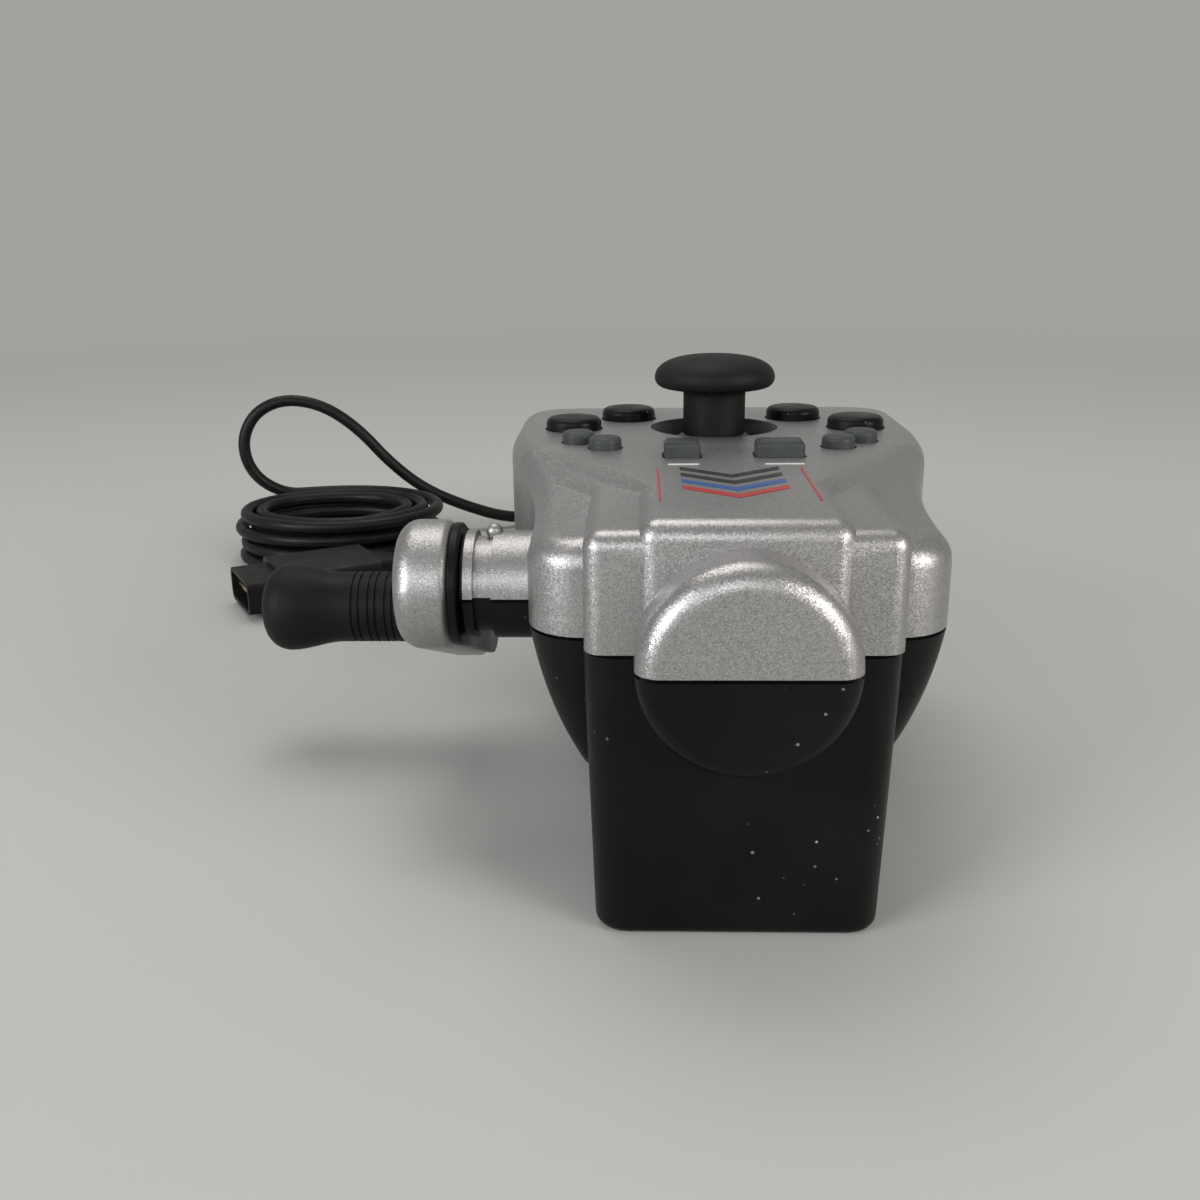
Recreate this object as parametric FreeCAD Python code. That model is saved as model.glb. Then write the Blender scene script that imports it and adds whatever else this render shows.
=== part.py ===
import FreeCAD, Part
import math
import os

V = FreeCAD.Vector

# Fishing rod game controller, in millimetres. The origin is the centre of the keel's flat base,
# +Z is up, the nose points along -Y, the handle along +Y and the reel crank sticks out along -X.
# Rises are heights above the parting plane, and setbacks are distances behind the keel's front wall.

# Housing
wall = 2.2
parting_height = 42.2
plateau_rise = 17.8
shoulder_rise = 16.3
fender_rise = 13.0
hull_drop = 23.5
keel_length = 76.0
keel_half_width = 21.2
keel_base_half_width = 19.95
keel_corner_radius = 4.6
keel_base_radius = 1.8
keel_end_draft = 0.6
spine_half_width = 14.0
spine_overhang = 1.5
spine_draft = 1.2
spine_end_setback = 46.0
spine_edge_radius = 2.8
shoulder_half_width = 21.0
shoulder_end_setback = 44.0
shoulder_edge_radius = 2.6
fender_inset = 7.5
fender_setback = 7.0
fender_corner_radius = 8.0
hull_half_width = 36.8
neck_half_width = 15.6
flare_start_setback = 25.0
flare_end_setback = 75.0
neck_start_setback = 91.0
neck_end_setback = 119.0
hull_edge_radius = 4.0
underside_radius = 3.0
flank_middle_narrowing = 2.9
flank_bottom_narrowing = 8.0
underside_end_setback = 87.0
boss_radius = 14.4
boss_reach = 8.8
boss_edge_radius = 3.4
boss_root = 7.0
scoop_radius = 44.0
scoop_start_inset = 19.8
scoop_start_setback = 32.0
scoop_turn_degrees = 32.0
seam_width = 0.5
seam_depth = 0.7

# Reel stub, shaft and crank
reel_ahead = 40.3
stub_radius = 8.4
stub_reach = 11.3
stub_round = 0.45
stub_bead_width = 1.9
stub_groove_width = 2.8
stub_groove_depth = 0.9
stub_nub_radius = 1.3
shaft_radius = 3.0
shaft_end_gap = 0.3
shaft_grip = 5.5
bush_wall = 2.0
bush_length = 11.0
rib_bush_length = 5.0
rib_x = 3.0
rib_width = 14.0
rib_depth = 9.0
rib_web = 4.4
rib_pocket = 2.0
clip_thickness = 1.0
clip_rim = 1.6
clip_gap = 0.2
clip_mouth = 4.8
encoder_x = -10.0
encoder_radius = 8.6
encoder_thickness = 1.2
encoder_hub_radius = 4.6
encoder_hub_length = 5.0
encoder_slots = 12
encoder_slot_width = 1.1
encoder_slot_length = 2.2
sensor_gap = 0.9
sensor_arm = 1.7
sensor_half_width = 6.0
sensor_half_depth = 7.0
sensor_drop = 12.0
sensor_corner = 1.0
crank_gap = 0.3
crank_length = 39.0
crank_droop_degrees = 23.0
crank_base_thickness = 1.4
crank_base_rim = 0.5
crank_cover_thickness = 8.6
crank_hub_radius = 10.1
crank_tip_radius = 9.2
crank_edge_radius = 3.4
crank_inner_radius = 1.4
knob_length = 33.0
knob_neck_radius = 6.6
knob_bulb_radius = 8.2
knob_pin_radius = 1.8
knob_pin_head_radius = 3.2
knob_pin_head = 0.8
knob_end_wall = 3.5
knob_flare_start = 19.0
knob_bulb_at = 28.5
knob_crown_radius = 2.5
knob_grooves = 6
knob_groove_start = 4.0
knob_groove_step = 2.6
knob_groove_depth = 0.35
knob_groove_width = 0.7

# Handle
handle_setback = 111.0
handle_droop_degrees = 15.0
grip_half_width = 17.0
grip_half_height = 15.0
grip_wall = 2.4
waist_shrink = 0.9
waist_share = 0.3
palm_swell = 0.5
palm_share = 0.68
butt_half_width = 17.2
butt_half_height = 16.2
butt_length = 12.0
butt_radius = 5.0
foot_sink = 0.3
butt_lip = 3.0
grip_start_radius = 6.0
grip_radius = 10.0
grip_grooves = 8
grip_groove_start = 34.0
grip_groove_width = 1.6
grip_groove_depth = 0.7
grip_groove_step = 4.6
relief_length = 19.0
relief_base_radius = 4.0
relief_tip_radius = 2.7
relief_rings = 4
relief_ring_depth = 0.5
relief_collar = 1.2
relief_root = 4.0
relief_bare = 3.0
relief_groove_start = 0.3
relief_groove_end = 0.6

# Buttons: how far out from the middle, or in from the hull's side, and how far behind or ahead of the stick
button_radius = 5.0
button_proud = 2.3
outer_button_inset = 11.3
outer_button_ahead = 1.0
inner_button_x = 15.6
inner_button_behind = 10.5
small_button_radius = 2.75
small_button_proud = 2.1
button_edge_radius = 0.9
front_small_inset = 17.5
front_small_ahead = 21.0
rear_small_inset = 12.8
rear_small_ahead = 15.3
bar_button_depth = 5.0
bar_button_proud = 2.5
bar_button_ahead = 28.0
select_x = 8.8
select_width = 7.8
start_x = -6.8
start_width = 5.8
bar_button_corner = 0.8
button_flange = 0.8
button_flange_thickness = 1.2
button_foot = 1.5

# Boards, mats and screws
board_thickness = 1.6
board_drop = 9.3
board_inset = 6.8
board_ahead = 24.0
board_behind = 16.5
board_corner = 5.0
board_tongue_half_width = 13.0
board_tongue_ahead = 32.0
mat_thickness = 1.0
mat_dome_radius = 3.0
mat_rim = 1.2
mat_dome_top_radius = 2.4
mat_strip = 3.0
post_radius = 2.6
front_board_post_x = 12.0
front_board_post_ahead = 18.0
rear_board_post_inset = 9.8
rear_board_post_behind = 12.0
board_screw_radius = 1.0
board_screw_head_radius = 1.9
board_screw_head = 1.4
board_screw_length = 5.0
keel_post_x = 13.5
keel_post_margin = 12.0
keel_rear_post_margin = 14.0
hull_post_inset = 14.8
hull_post_behind = 21.0
shell_post_radius = 3.9
screw_radius = 1.3
screw_head_radius = 2.5
screw_head_height = 2.0
screw_recess_radius = 2.9
screw_seat_drop = 8.0
screw_reach = 8.0

# Thumbstick
stick_setback = 73.0
stick_pivot_drop = 12.0
stick_cap_radius = 10.8
stick_cap_height = 5.7
stick_cap_lip = 1.7
stick_cap_flat_radius = 9.0
stick_neck_radius = 5.6
stick_neck_height = 7.3
dome_radius = 12.3
dome_wall = 1.0
dome_crown = 1.5
ring_radius = 11.5
ring_throat_radius = 9.9
ring_depth = 3.4
ring_rim = 0.9
ring_chamfer = 0.3
ring_flange_thickness = 1.0
stem_radius = 1.6
stem_below_pivot = 4.5
stem_above_neck = 10.0
stick_clearance = 13.6
stick_case_rise = 0.3
stick_case_half = 7.5
stick_case_depth = 9.0
stick_case_wall = 1.2
stick_tilt_degrees = 15.0
yoke_half_length = 5.2
yoke_half_width = 3.2
yoke_half_height = 2.2
yoke_slot_half_length = 4.0
yoke_slot_half_width = 1.9
yoke_pin_radius = 1.2
cross_pin_radius = 0.8
stick_board_half = 9.5
stick_post_spread = 6.5

# Rumble motor
motor_radius = 10.0
motor_length = 20.5
motor_front_setback = 37.0
motor_floor_gap = 2.3
weight_radius = 8.0
weight_thickness = 6.0
weight_gap = 0.5
motor_shaft_radius = 1.0
motor_nose = 1.5
motor_nose_radius = 3.3
weight_top = 2.0
cradle_thickness = 2.0

# Cord
cord_radius = 1.8
cord_facets = 8
cord_free_run = 8.0
coil_x = -104.0
coil_setback = 205.0
coil_half_length = 31.0
coil_half_depth = 26.0
coil_step = 4.3
coil_fan_share = 0.1
coil_layers = 4
coil_start_degrees = 20.0
coil_turns = 10.25
coil_climb_turns = 0.5
coil_layer_height = 4.15
coil_quarters = 4
coil_sampling = 12
plug_length = 26.0
plug_half_width = 11.5
plug_half_height = 5.8
plug_boot_length = 12.0
plug_boot_half_width = 9.2
plug_boot_half_height = 5.2
plug_boot_end_half_width = 2.9
plug_boot_end_half_height = 2.7
plug_nose_length = 9.0
plug_nose_inset = 1.4
plug_contacts = 9
plug_contact_radius = 0.6
plug_pocket_depth = 6.5
plug_nose_wall = 1.0
plug_contact_length = 5.0
plug_x = -117.0
plug_setback = 148.0
plug_turn_degrees = 30.0
arc_share = 0.45

# Fits
running_gap = 0.05
seat_gap = 0.05
button_gap = 0.25
small_gap = 0.1
overlap = 0.5

# Slopes and steps by which edges, arcs and directions are told apart
upright_share = 0.5
side_slope = 0.05
top_slope = 0.3
underside_turn_least = 0.5
underside_turn_most = 1.2
parallel_limit = 1e-9
straight_limit = 1e-6
heading_step = 1e-4

# Cord route in units of route_step: over the ground behind the strain relief's tip, up in a loop and down to
# the coil's top end, and from its bottom end to the plug
route_step = 1.0
ground_route = ((-3.5, 17.3, 4.4), (-11, 24.3, 2.6), (-22.5, 25.8, 2.1), (-34.5, 19.8, 2.0),
                (-46, 11.3, 2.1), (-57.5, 3.8, 3.6), (-70, 1.3, 8))
loop_route = ((35.4, 3.1, 0.2), (24.9, 1.7, 9.3), (16.2, 0.3, 20.2), (5.8, -1, 28), (-5.6, -2.8, 30.4),
              (-14.5, -4.6, 26.8), (-19, -5.7, 19.3), (-18.9, -5.7, 11.3), (-15.1, -4.6, 4.5))
tail_route = ((6.7, -16.1, 1.9), (8.4, -25.8, 3.6))

front_y = -keel_length / 2
fender_half_width = hull_half_width - fender_inset
plateau_z = parting_height + plateau_rise
ceiling_z = plateau_z - wall
hull_bottom = parting_height - hull_drop
stick_y = front_y + stick_setback
reel_y = stick_y - reel_ahead
droop = math.radians(handle_droop_degrees)
handle_y = front_y + handle_setback
butt_centre_drop = (parting_height + foot_sink - butt_radius
                    - (butt_half_height - butt_radius) * math.cos(droop))
handle_length = butt_radius + butt_centre_drop / math.sin(droop)
handle_place = FreeCAD.Placement(V(0, handle_y, parting_height),
                                 FreeCAD.Rotation(V(1, 0, 0), -handle_droop_degrees))
board_z = plateau_z - board_drop
bush_radius = shaft_radius + running_gap + bush_wall
stub_end_x = -fender_half_width - stub_reach
crank_base_x = stub_end_x - crank_gap
crank_cover_x = crank_base_x - crank_base_thickness
shaft_outer_end_x = crank_cover_x - shaft_grip
rib_pocket_x = rib_x + rib_bush_length + rib_pocket
knob_x = crank_cover_x - crank_cover_thickness - crank_gap
sensor_top = parting_height - sensor_drop
pivot_z = plateau_z - stick_pivot_drop
dome_top = math.sqrt(dome_radius ** 2 - stick_neck_radius ** 2)
stem_top = dome_top + stem_above_neck
stick_tilt = math.radians(stick_tilt_degrees)
dome_cover = math.acos((stick_pivot_drop - ring_depth) / dome_radius) + stick_tilt * math.sqrt(2)
stick_board_z = pivot_z - stick_case_depth
motor_height = wall + motor_floor_gap + motor_radius
core_radius = grip_radius - waist_shrink
board_half_width = hull_half_width - board_inset
board_front_y = stick_y - board_ahead
board_rear_y = stick_y + board_behind
bar_button_y = stick_y - bar_button_ahead
button_places = {"outer": (hull_half_width - outer_button_inset, stick_y - outer_button_ahead),
                 "inner": (inner_button_x, stick_y + inner_button_behind)}
small_button_places = {"front": (hull_half_width - front_small_inset, stick_y - front_small_ahead),
                       "rear": (hull_half_width - rear_small_inset, stick_y - rear_small_ahead)}
bar_buttons = {"select": (select_x, select_width), "start": (start_x, start_width)}
board_posts = ((front_board_post_x, stick_y - front_board_post_ahead),
               (hull_half_width - rear_board_post_inset, stick_y + rear_board_post_behind))
shell_posts = ((keel_post_x, front_y + keel_post_margin), (keel_post_x, -front_y - keel_rear_post_margin),
               (hull_half_width - hull_post_inset, stick_y + hull_post_behind))
stick_posts = ((stick_post_spread, stick_y - stick_post_spread),
               (stick_post_spread, stick_y + stick_post_spread))
coil_turns_per_layer = coil_turns / coil_layers
coil_start_angle = math.radians(coil_start_degrees)


def line(start, end):
    return Part.LineSegment(start, end).toShape()


def arc(start, middle, end):
    return Part.Arc(start, middle, end).toShape()


def box(x_low, x_high, y_low, y_high, z_low, z_high):
    return Part.makeBox(x_high - x_low, y_high - y_low, z_high - z_low, V(x_low, y_low, z_low))


def disc(radius, height, base, axis):
    return Part.makeCylinder(radius, height, base, axis)


def rounded_loop(half_u, half_v, radius, spot):
    """Wire round a rectangle with round corners. spot turns its two flat coordinates into a point."""
    cut = radius * (1 - math.sqrt(0.5))
    corners = []
    for number, (side_u, side_v) in enumerate(((1, 1), (-1, 1), (-1, -1), (1, -1))):
        upright = spot(side_u * half_u, side_v * (half_v - radius))
        level = spot(side_u * (half_u - radius), side_v * half_v)
        middle = spot(side_u * (half_u - cut), side_v * (half_v - cut))
        ends = (upright, level) if number % 2 == 0 else (level, upright)
        corners.append((ends[0], middle, ends[1]))
    edges = []
    for number, corner in enumerate(corners):
        edges.append(arc(*corner))
        edges.append(line(corner[2], corners[(number + 1) % len(corners)][0]))
    return Part.Wire(edges)


def slab(half_x, half_y, radius, centre, height):
    """Upright rounded block standing on its centre point."""
    loop = rounded_loop(half_x, half_y, radius, lambda u, v: centre + V(u, v, 0))
    return Part.Face(loop).extrude(V(0, 0, height))


def turned(profile, base, axis):
    """Solid of revolution of (distance along the axis, radius) points about an axis line."""
    axis = V(axis).normalize()
    side = V(0, 0, 1) if abs(axis.z) < upright_share else V(1, 0, 0)
    points = [base + axis * along + side * radius for along, radius in profile]
    loop = Part.makePolygon(points + [points[0]])
    return Part.Face(loop).revolve(base, axis, 360)


def biarc(start, heading, end, end_heading):
    """Two arcs that leave start along heading and reach end along end_heading, tangent where they meet."""
    span = end - start
    total = heading + end_heading
    square = 2 * (heading.dot(end_heading) - 1)
    across = -2 * span.dot(total)
    if abs(square) < parallel_limit:
        reach = -span.dot(span) / across
    else:
        reach = (-across - math.sqrt(across * across - 4 * square * span.dot(span))) / (2 * square)
    first = start + heading * reach
    second = end - end_heading * reach
    joint = (first + second) / 2
    return [corner_arc(start, first, joint), corner_arc(joint, second, end)]


def corner_arc(start, corner, end):
    """Arc tangent to start-corner and corner-end, whose lengths are equal."""
    chord_middle = (start + end) / 2
    leg = (start - corner).Length
    sagitta_line = chord_middle - corner
    if sagitta_line.Length < straight_limit * leg:
        return line(start, end)
    half_chord = (end - start).Length / 2
    radius = leg * half_chord / sagitta_line.Length
    centre_distance = math.sqrt(radius * radius + leg * leg)
    crown = corner + V(sagitta_line).normalize() * (centre_distance - radius)
    return arc(start, crown, end)


def s_bend(start, end):
    """Two equal arcs between two plan points, both heading along Y."""
    ahead = V(0, math.copysign(1, end.y - start.y), 0)
    return biarc(start, ahead, end, ahead)


def hull_outline(inset, height):
    """Plan of the hull: square front with round fenders, a flare, and shoulders that draw in to the neck."""
    front = fender_half_width - inset
    full = hull_half_width - inset
    neck = neck_half_width - inset
    radius = max(fender_corner_radius - inset, wall)
    front_line = front_y + fender_setback + inset
    cut = radius * (1 - math.sqrt(0.5))
    neck_end = front_y + neck_end_setback

    def side(sign):
        corner_start = V(sign * (front - radius), front_line, height)
        corner_middle = V(sign * (front - cut), front_line + cut, height)
        corner_end = V(sign * front, front_line + radius, height)
        flare_start = V(sign * front, front_y + flare_start_setback, height)
        flare_end = V(sign * full, front_y + flare_end_setback, height)
        neck_start = V(sign * full, front_y + neck_start_setback, height)
        neck_stop = V(sign * neck, neck_end, height)
        edges = [arc(corner_start, corner_middle, corner_end), line(corner_end, flare_start)]
        edges += s_bend(flare_start, flare_end)
        edges.append(line(flare_end, neck_start))
        edges += s_bend(neck_start, neck_stop)
        return edges

    front_edge = line(V(radius - front, front_line, height), V(front - radius, front_line, height))
    rear_edge = line(V(neck, neck_end, height), V(-neck, neck_end, height))
    return Part.Wire(Part.__sortEdges__([front_edge] + side(1) + [rear_edge] + side(-1)))


def side_profile(inset):
    """Hull seen from the side: level plateau that rolls over to the handle's slope, flat underside,
    finger curve behind it, and the sloped end where the grip starts."""
    along = V(0, math.cos(droop), -math.sin(droop))
    normal = V(0, math.sin(droop), math.cos(droop))
    centre = V(0, handle_y, parting_height) - along * inset
    top_end = centre + normal * (grip_half_height - inset)
    low_end = centre - normal * (grip_half_height - inset)
    top = plateau_z - inset
    floor = hull_bottom + inset
    roll_radius = (top - top_end.z) / (1 - math.cos(droop))
    roll_start = V(0, top_end.y - roll_radius * math.sin(droop), top)
    roll_middle = roll_start + V(0, roll_radius * math.sin(droop / 2),
                                 -roll_radius * (1 - math.cos(droop / 2)))
    front = front_y + fender_setback + inset
    floor_end = V(0, front_y + underside_end_setback - inset, floor)
    edges = [line(V(0, front, floor), floor_end)]
    edges += biarc(floor_end, V(0, 1, 0), low_end, along)
    edges.append(line(low_end, top_end))
    edges.append(arc(top_end, roll_middle, roll_start))
    edges.append(line(roll_start, V(0, front, top)))
    edges.append(line(V(0, front, top), V(0, front, floor)))
    profile = Part.Face(Part.Wire(edges))
    profile.translate(V(-hull_half_width, 0, 0))
    return profile.extrude(V(2 * hull_half_width, 0, 0))


def scoop_tool(sign, inset):
    """What the scoop takes from one front corner of the plateau: a hollow curve down to the fender."""
    bearing = math.radians(scoop_turn_degrees)
    outward = V(sign * math.cos(bearing), -math.sin(bearing), 0)
    along = V(sign * math.sin(bearing), math.cos(bearing), 0)
    radius = scoop_radius + inset
    fall = plateau_rise - fender_rise
    width = math.sqrt(scoop_radius ** 2 - (scoop_radius - fall) ** 2)
    reach = 2 * hull_half_width
    ridge_x = sign * (hull_half_width - scoop_start_inset)
    ridge = V(ridge_x, front_y + scoop_start_setback, plateau_z) - along * reach
    floor = V(0, 0, -fall - inset)
    edge_angle = math.asin(width / scoop_radius)
    centre = ridge + outward * width + V(0, 0, scoop_radius - fall)

    def spot(angle):
        return centre - outward * (radius * math.sin(angle)) - V(0, 0, radius * math.cos(angle))

    low = ridge + outward * width + floor
    far = ridge + outward * reach + floor
    lift = V(0, 0, plateau_rise)
    edges = [arc(spot(edge_angle), spot(edge_angle / 2), low), line(low, far), line(far, far + lift),
             line(far + lift, spot(edge_angle) + lift), line(spot(edge_angle) + lift, spot(edge_angle))]
    return Part.Face(Part.Wire(edges)).extrude(along * (2 * reach))


def upper_hull(inset):
    """Plateau and fenders above the parting plane, with both scoops and the rounded upper edge."""
    block = Part.Face(hull_outline(inset, parting_height)).extrude(V(0, 0, plateau_rise))
    block = block.common(side_profile(inset))
    for sign in (1, -1):
        block = block.cut(scoop_tool(sign, inset))
    return block


def lower_hull(inset):
    """Flanks below the parting plane, narrowing in a gentle curve to the flat underside."""
    floor = hull_bottom + inset
    sections = [hull_outline(inset, parting_height),
                hull_outline(inset + flank_middle_narrowing, (parting_height + hull_bottom) / 2),
                hull_outline(inset + flank_bottom_narrowing, floor)]
    return Part.makeLoft(sections, True).common(side_profile(inset))


def facing(face, point):
    u, v = face.Surface.parameter(point)
    return face.normalAt(u, v)


def edges_where(shape, test):
    """Edges whose middle point and two face normals pass a test."""
    chosen = []
    for edge in shape.Edges:
        faces = shape.ancestorsOfType(edge, Part.Face)
        if len(faces) == 2:
            middle = edge.valueAt((edge.FirstParameter + edge.LastParameter) / 2)
            if test(middle, facing(faces[0], middle), facing(faces[1], middle)):
                chosen.append(edge)
    return chosen


def is_upper_rim(middle, first, second):
    uprightness = sorted((abs(first.z), abs(second.z)))
    return middle.z > parting_height + wall and uprightness[0] < side_slope and uprightness[1] > top_slope


def is_underside_rim(middle, first, second):
    turn = first.getAngle(second)
    return middle.z < parting_height - wall and underside_turn_least < turn < underside_turn_most


def keel(inset):
    """Deep box under the nose with slightly drafted walls."""
    def section(half_width, draft, height):
        return rounded_loop(half_width - inset, keel_length / 2 - draft - inset,
                            max(keel_corner_radius - inset, wall / 2), lambda u, v: V(u, v, height))

    box_form = Part.makeLoft([section(keel_half_width, 0, parting_height),
                              section(keel_base_half_width, keel_end_draft, inset)], True)
    if inset:
        return box_form
    base_edges = edges_where(box_form, lambda middle, first, second: middle.z < wall / 2)
    return box_form.makeFillet(keel_base_radius, base_edges)


def shoulders(inset):
    """Lower step on both sides of the spine."""
    centre = V(0, front_y + shoulder_end_setback / 2, parting_height)
    block = slab(shoulder_half_width - inset, shoulder_end_setback / 2 - inset, shoulder_edge_radius,
                 centre, shoulder_rise - inset)
    return block if inset else block.makeFillet(shoulder_edge_radius - small_gap,
                                                edges_where(block, is_upper_rim))


def spine(inset):
    """Raised middle of the nose with a front wall that leans back."""
    foot = front_y - spine_overhang + inset
    top = plateau_z - inset
    back = front_y + spine_end_setback
    width = 2 * (spine_half_width - inset)
    side = Part.makePolygon([V(inset - spine_half_width, foot, parting_height),
                             V(inset - spine_half_width, foot + spine_draft, top),
                             V(inset - spine_half_width, back, top),
                             V(inset - spine_half_width, back, parting_height),
                             V(inset - spine_half_width, foot, parting_height)])
    block = Part.Face(side).extrude(V(width, 0, 0))
    if inset:
        return block
    front_edges = edges_where(block, lambda middle, first, second: middle.z > parting_height + wall
                              and middle.y < back - wall)
    return block.makeFillet(spine_edge_radius, front_edges)


def nose_boss(inset):
    """Round blank boss on the nose, moulded half into each shell."""
    reach = boss_reach - inset
    body = disc(boss_radius - inset, reach + boss_root, V(0, front_y - reach, parting_height), V(0, 1, 0))
    if inset:
        return body
    front = [edge for edge in body.Edges if edge.BoundBox.YMax < front_y - boss_reach + small_gap]
    return body.makeFillet(boss_edge_radius, front)


def reel_stub():
    """Half-and-half barrel that carries the reel shaft, with an end bead, a groove and a nub."""
    root_x = 2 * wall - fender_half_width
    bead_end = stub_end_x + stub_bead_width
    groove_end = bead_end + stub_groove_width
    profile = [(0, 0), (0, stub_radius - stub_round), (stub_round, stub_radius),
               (stub_bead_width, stub_radius), (stub_bead_width, stub_radius - stub_groove_depth),
               (groove_end - stub_end_x, stub_radius - stub_groove_depth),
               (groove_end - stub_end_x, stub_radius), (root_x - stub_end_x, stub_radius),
               (root_x - stub_end_x, 0)]
    barrel = turned(profile, V(stub_end_x, reel_y, parting_height), V(1, 0, 0))
    nub = Part.makeSphere(stub_nub_radius, V(groove_end, reel_y, parting_height + stub_radius))
    return barrel.fuse(nub)


def in_handle(shape):
    """Places a solid drawn along the handle's own axis, whose start is the bend of the parting line."""
    placed = shape.copy()
    placed.Placement = handle_place.multiply(placed.Placement)
    return placed


def grip_section(half_width, half_height, radius, along):
    return rounded_loop(half_width, half_height, radius, lambda u, v: V(u, along, v))


def core_prism(inset, start, end):
    """The shells' tail inside the grip sleeve."""
    shrink = grip_wall + inset
    section = grip_section(grip_half_width - shrink, grip_half_height - shrink, core_radius, start)
    return in_handle(Part.Face(section).extrude(V(0, end - start, 0)))


def grip_form(inset):
    """Outside of the whole handle, waisted behind the hull and swelling in the palm."""
    sizes = ((0, 0, grip_start_radius), (waist_share, -waist_shrink, grip_radius),
             (palm_share, palm_swell, grip_radius))
    sections = [grip_section(grip_half_width + swell - inset, grip_half_height + swell - inset, radius,
                             share * handle_length) for share, swell, radius in sizes]
    sections.append(grip_section(butt_half_width - inset, butt_half_height - inset, grip_radius,
                                 handle_length))
    return Part.makeLoft(sections, True)


def handle_slice(start, end):
    """Slab square to the handle's axis, wider than the handle."""
    reach = 2 * grip_half_width
    return box(-reach, reach, start, end, -reach, reach)


def above_parting():
    """Everything above the parting plane and, along the handle, above its axis."""
    far = V(0, 2 * handle_length * math.cos(droop), -2 * handle_length * math.sin(droop))
    bend = V(0, handle_y, parting_height)
    high = V(0, 0, 2 * handle_length)
    start = V(0, front_y - 2 * boss_reach, parting_height)
    loop = Part.makePolygon([start, bend, bend + far, bend + far + high, start + high, start])
    region = Part.Face(loop)
    region.translate(V(-2 * hull_half_width, 0, 0))
    return region.extrude(V(4 * hull_half_width, 0, 0))


def at_both(places):
    """Centres on both halves for places given as x and y on one half."""
    return [V(sign * x, y, 0) for x, y in places for sign in (1, -1)]


def posts(places, radius, low, high):
    return [disc(radius, high - low, centre + V(0, 0, low), V(0, 0, 1)) for centre in at_both(places)]


def fuse_all(shapes):
    return shapes[0].multiFuse(shapes[1:])


def bearing_block(low, high):
    """Block for the shaft's inner bush, on a web that reaches out from the hull's side wall."""
    block_end = rib_pocket_x + wall
    block = box(rib_x, block_end, reel_y - rib_width / 2, reel_y + rib_width / 2, low, high)
    web = box(block_end - overlap, hull_half_width, reel_y - rib_web / 2, reel_y + rib_web / 2, low, high)
    return block.fuse(web)


def shaft_bore(radius, start_x, end_x):
    return disc(radius, end_x - start_x, V(start_x, reel_y, parting_height), V(1, 0, 0))


def housing():
    """Both shells: one outer form, hollowed by the same form one wall smaller, split at the parting."""
    top_form = upper_hull(0)
    top_form = top_form.makeFillet(hull_edge_radius, edges_where(top_form, is_upper_rim))
    low_form = lower_hull(0)
    low_form = low_form.makeFillet(underside_radius, edges_where(low_form, is_underside_rim))
    tail_end = handle_length - butt_lip
    outer = fuse_all([top_form, low_form, shoulders(0), spine(0), keel(0), nose_boss(0), reel_stub(),
                      core_prism(0, -hull_edge_radius, tail_end)])
    hollow = fuse_all([upper_hull(wall), lower_hull(wall), shoulders(wall), spine(wall), keel(wall),
                       nose_boss(wall), core_prism(wall, -2 * hull_edge_radius, tail_end + overlap)])
    upper = above_parting()
    top = outer.common(upper).cut(hollow)
    bottom = outer.cut(upper).cut(hollow)
    return outer, top, bottom


def stud_set(shapes, limit):
    return fuse_all(shapes).common(limit)


def make_top_shell(outer, top):
    studs = posts(shell_posts, post_radius, parting_height, plateau_z)
    studs += posts(board_posts, post_radius, board_z, plateau_z)
    studs.append(bearing_block(parting_height, plateau_z))
    top = top.fuse(stud_set(studs, outer))
    holes = posts(shell_posts, screw_radius + seat_gap, parting_height - overlap,
                  parting_height + screw_reach + overlap)
    holes += posts(board_posts, board_screw_radius + seat_gap, board_z - overlap,
                   board_z + board_screw_length + overlap)
    holes.append(reel_bore())
    low = ceiling_z - overlap
    height = wall + 2 * overlap
    for centre, radius, _, _ in round_buttons():
        holes.append(disc(radius + button_gap, height, centre + V(0, 0, low), V(0, 0, 1)))
    for x, width in bar_buttons.values():
        holes.append(slab(width / 2 + button_gap, bar_button_depth / 2 + button_gap, bar_button_corner,
                          V(x, bar_button_y, low), height))
    holes.append(disc(ring_radius, height, V(0, stick_y, low), V(0, 0, 1)))
    return top.cut(fuse_all(holes))


def round_buttons():
    """Centre, radius, rise over the plateau and name of each round button."""
    found = []
    for kind, places, radius, proud in (("round_button", button_places, button_radius, button_proud),
                                        ("small_button", small_button_places, small_button_radius,
                                         small_button_proud)):
        for spot_name, (x, y) in places.items():
            for side, sign in (("left", 1), ("right", -1)):
                found.append((V(sign * x, y, 0), radius, proud, f"{kind}_{side}_{spot_name}"))
    return found


def reel_bore():
    """Bore for both bushes, through the stub into the hull and through the bearing block."""
    radius = bush_radius + seat_gap
    through_stub = shaft_bore(radius, stub_end_x - overlap, 2 * wall - fender_half_width)
    through_block = shaft_bore(radius, rib_x - overlap, rib_pocket_x)
    return through_stub.fuse(through_block)


def make_bottom_shell(outer, bottom):
    studs = posts(shell_posts, shell_post_radius, 0, parting_height)
    studs += posts(stick_posts, post_radius, 0, stick_board_z - board_thickness)
    studs.append(bearing_block(parting_height - rib_depth, parting_height))
    studs += motor_cradle()
    studs.append(sensor_ledge())
    bottom = bottom.fuse(stud_set(studs, outer.cut(above_parting())))
    seat_z = parting_height - screw_seat_drop
    holes = posts(shell_posts, screw_recess_radius, -overlap, seat_z)
    holes += posts(shell_posts, screw_radius + small_gap, seat_z - overlap, parting_height + overlap)
    holes.append(reel_bore())
    return bottom.cut(fuse_all(holes)).cut(seam_reveal(outer))


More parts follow.
